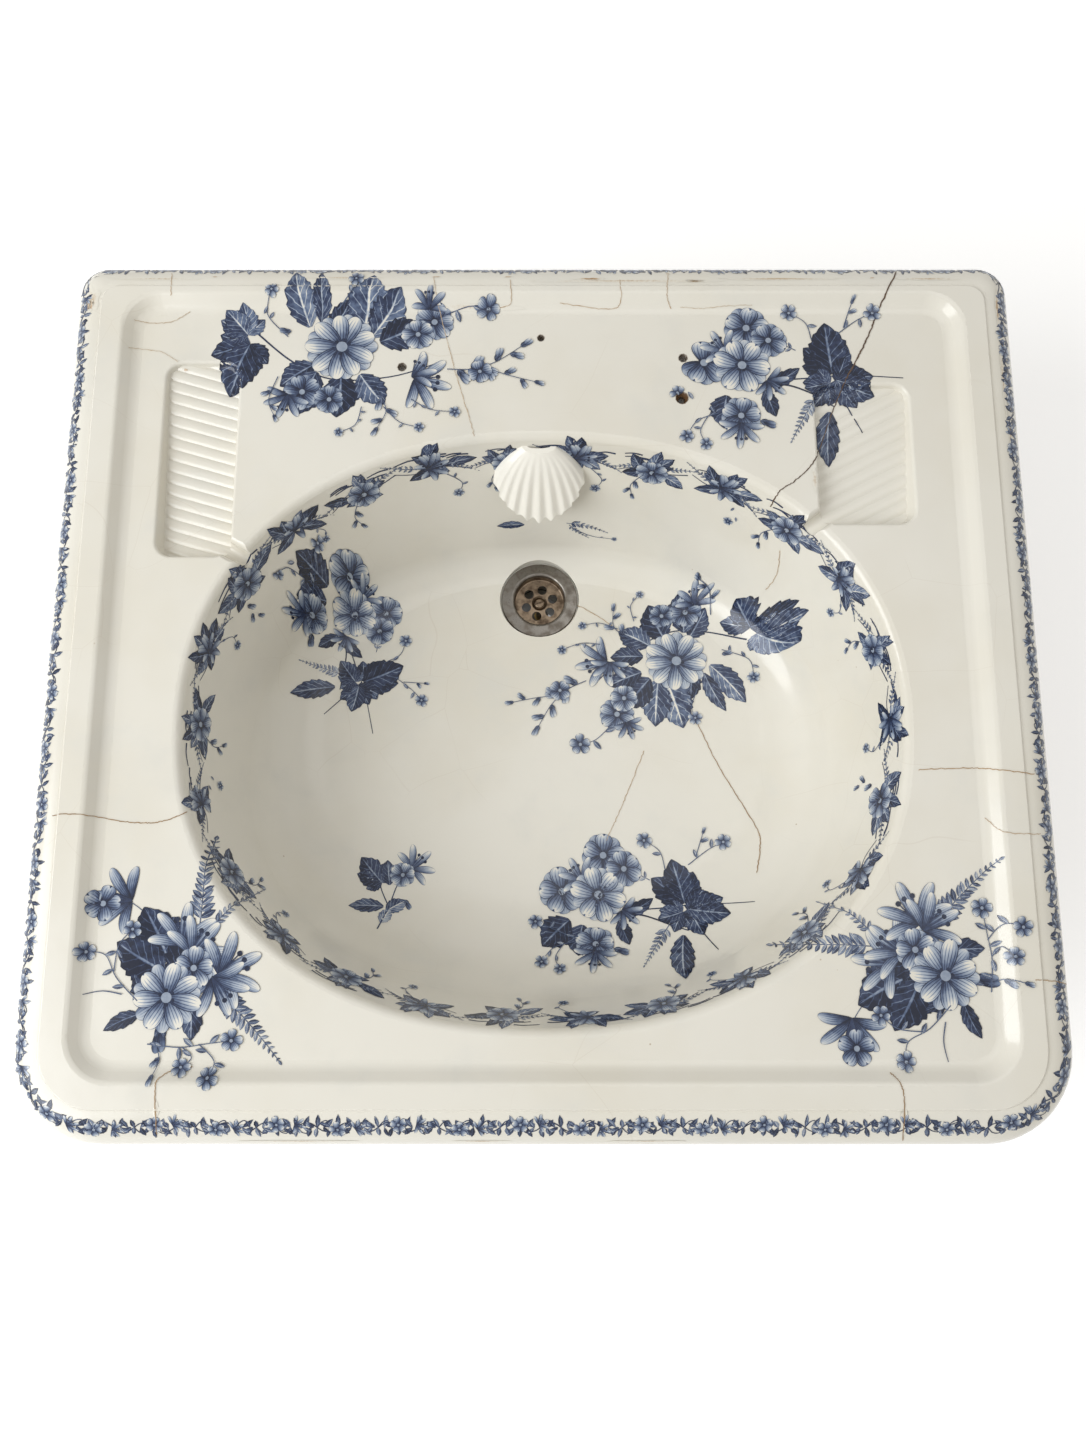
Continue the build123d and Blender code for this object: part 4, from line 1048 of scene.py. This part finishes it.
# Sprays: name, drawing, pixel of the photograph, lean of the sheet, turn in degrees and size
UPRIGHT = (0, 0, 1)
LAYOUT = [
    ("spray_back_left", long_spray, 350, 352, UPRIGHT, 0, 1.0),
    ("spray_back_right", pair_spray, 786, 378, UPRIGHT, 0, 1.0),
    ("spray_front_left", corner_spray, 178, 968, UPRIGHT, 0, 1.05),
    ("spray_front_right", corner_spray, 916, 966, UPRIGHT, 90, 1.05),
    ("spray_bowl_left", pair_spray, 352, 650, None, -75, 0.85),
    ("spray_bowl_right", long_spray, 668, 660, (0.1, 0, 1), 206, 0.95),
    ("spray_bowl_front", pair_spray, 640, 908, None, 0, 1.0),
    ("sprig_bowl", sprig, 392, 890, None, 0, 1.0),
    ("sprig_shell", under_shell_sprig, 552, 528, None, 0, 1.0),
]
for seed, (name, draw, column, row, lean, turn, size) in enumerate(LAYOUT):
    ink = Ink(name, print_ink)
    draw(Spray(ink, flat_place(column, row, lean), 0, 0, turn, size, seed, SPRAY_FINE))
    ink.finish()
band = Ink("garland", print_ink)
garland(band, 40)
band.finish()
edge_print = Ink("border", print_ink)
border(edge_print, 90)
edge_print.finish()

# Floor, world and lamps
FLOOR_REACH = 6
FLOOR_DROP = 0.0005
FLOOR_GREY = 0.9
FLOOR_GLOW = 0.35
SKY_COLOUR = (1.0, 0.98, 0.94, 1)
SKY_STRENGTH = 0.53
floor_mesh = bpy.data.meshes.new("floor")
floor_z = cad_box[0].z - FLOOR_DROP
floor_signs = [(-1, -1), (1, -1), (1, 1), (-1, 1)]
floor_corners = [(FLOOR_REACH * x, FLOOR_REACH * y, floor_z) for x, y in floor_signs]
floor_mesh.from_pydata(floor_corners, [], [(0, 1, 2, 3)])
floor = bpy.data.objects.new("floor", floor_mesh)
bpy.context.scene.collection.objects.link(floor)
floor_graph = Graph("floor")
floor_graph.shader.inputs["Base Color"].default_value = (FLOOR_GREY, FLOOR_GREY, FLOOR_GREY, 1)
floor_graph.shader.inputs["Roughness"].default_value = 0.9
floor_graph.shader.inputs["Specular IOR Level"].default_value = 0.0
paths = floor_graph.node("ShaderNodeLightPath")
seen = floor_graph.math("MAXIMUM", paths.outputs["Is Camera Ray"], paths.outputs["Is Glossy Ray"])
seen = floor_graph.math("MAXIMUM", seen, paths.outputs["Is Transmission Ray"])
floor_graph.shader.inputs["Emission Color"].default_value = (1, 1, 1, 1)
glow = floor_graph.math("MULTIPLY", seen, FLOOR_GLOW)
floor_graph.put(floor_graph.shader.inputs["Emission Strength"], glow)
floor_mesh.materials.append(floor_graph.material)

world = bpy.data.worlds.new("studio")
bpy.context.scene.world = world
world.use_nodes = True
sky = world.node_tree
sky.nodes.clear()
sky_out = sky.nodes.new("ShaderNodeOutputWorld")
sky_light = sky.nodes.new("ShaderNodeBackground")
sky_light.inputs["Color"].default_value = SKY_COLOUR
sky_light.inputs["Strength"].default_value = SKY_STRENGTH
sky_white = sky.nodes.new("ShaderNodeBackground")
sky_white.inputs["Strength"].default_value = 1.0
sky_paths = sky.nodes.new("ShaderNodeLightPath")
sky_seen = sky.nodes.new("ShaderNodeMath")
sky_seen.operation = "MAXIMUM"
sky_mix = sky.nodes.new("ShaderNodeMixShader")
sky_clear = sky.nodes.new("ShaderNodeMath")
sky_clear.operation = "MAXIMUM"
sky.links.new(sky_paths.outputs["Is Camera Ray"], sky_seen.inputs[0])
sky.links.new(sky_paths.outputs["Is Glossy Ray"], sky_seen.inputs[1])
sky.links.new(sky_seen.outputs[0], sky_clear.inputs[0])
sky.links.new(sky_paths.outputs["Is Transmission Ray"], sky_clear.inputs[1])
sky.links.new(sky_clear.outputs[0], sky_mix.inputs[0])
sky.links.new(sky_light.outputs[0], sky_mix.inputs[1])
sky.links.new(sky_white.outputs[0], sky_mix.inputs[2])
sky.links.new(sky_mix.outputs[0], sky_out.inputs[0])


def area_lamp(name, place, size, watts, colour):
    """Round soft lamp that looks at the basin's middle."""
    data = bpy.data.lights.new(name, "AREA")
    data.shape = "DISK"
    data.size = size
    data.energy = watts
    data.color = colour
    lamp = bpy.data.objects.new(name, data)
    lamp.location = place
    lamp.rotation_mode = "QUATERNION"
    lamp.rotation_quaternion = (-Vector(place)).to_track_quat("-Z", "Y")
    bpy.context.scene.collection.objects.link(lamp)


area_lamp("key", (-1.75, -0.7, 1.4), 1.9, 42, (0.945, 0.972, 1.0))
area_lamp("fill", (0.5, 0.4, 2.4), 1.6, 5, (1, 1, 1))

bpy.context.scene.view_settings.view_transform = "Standard"
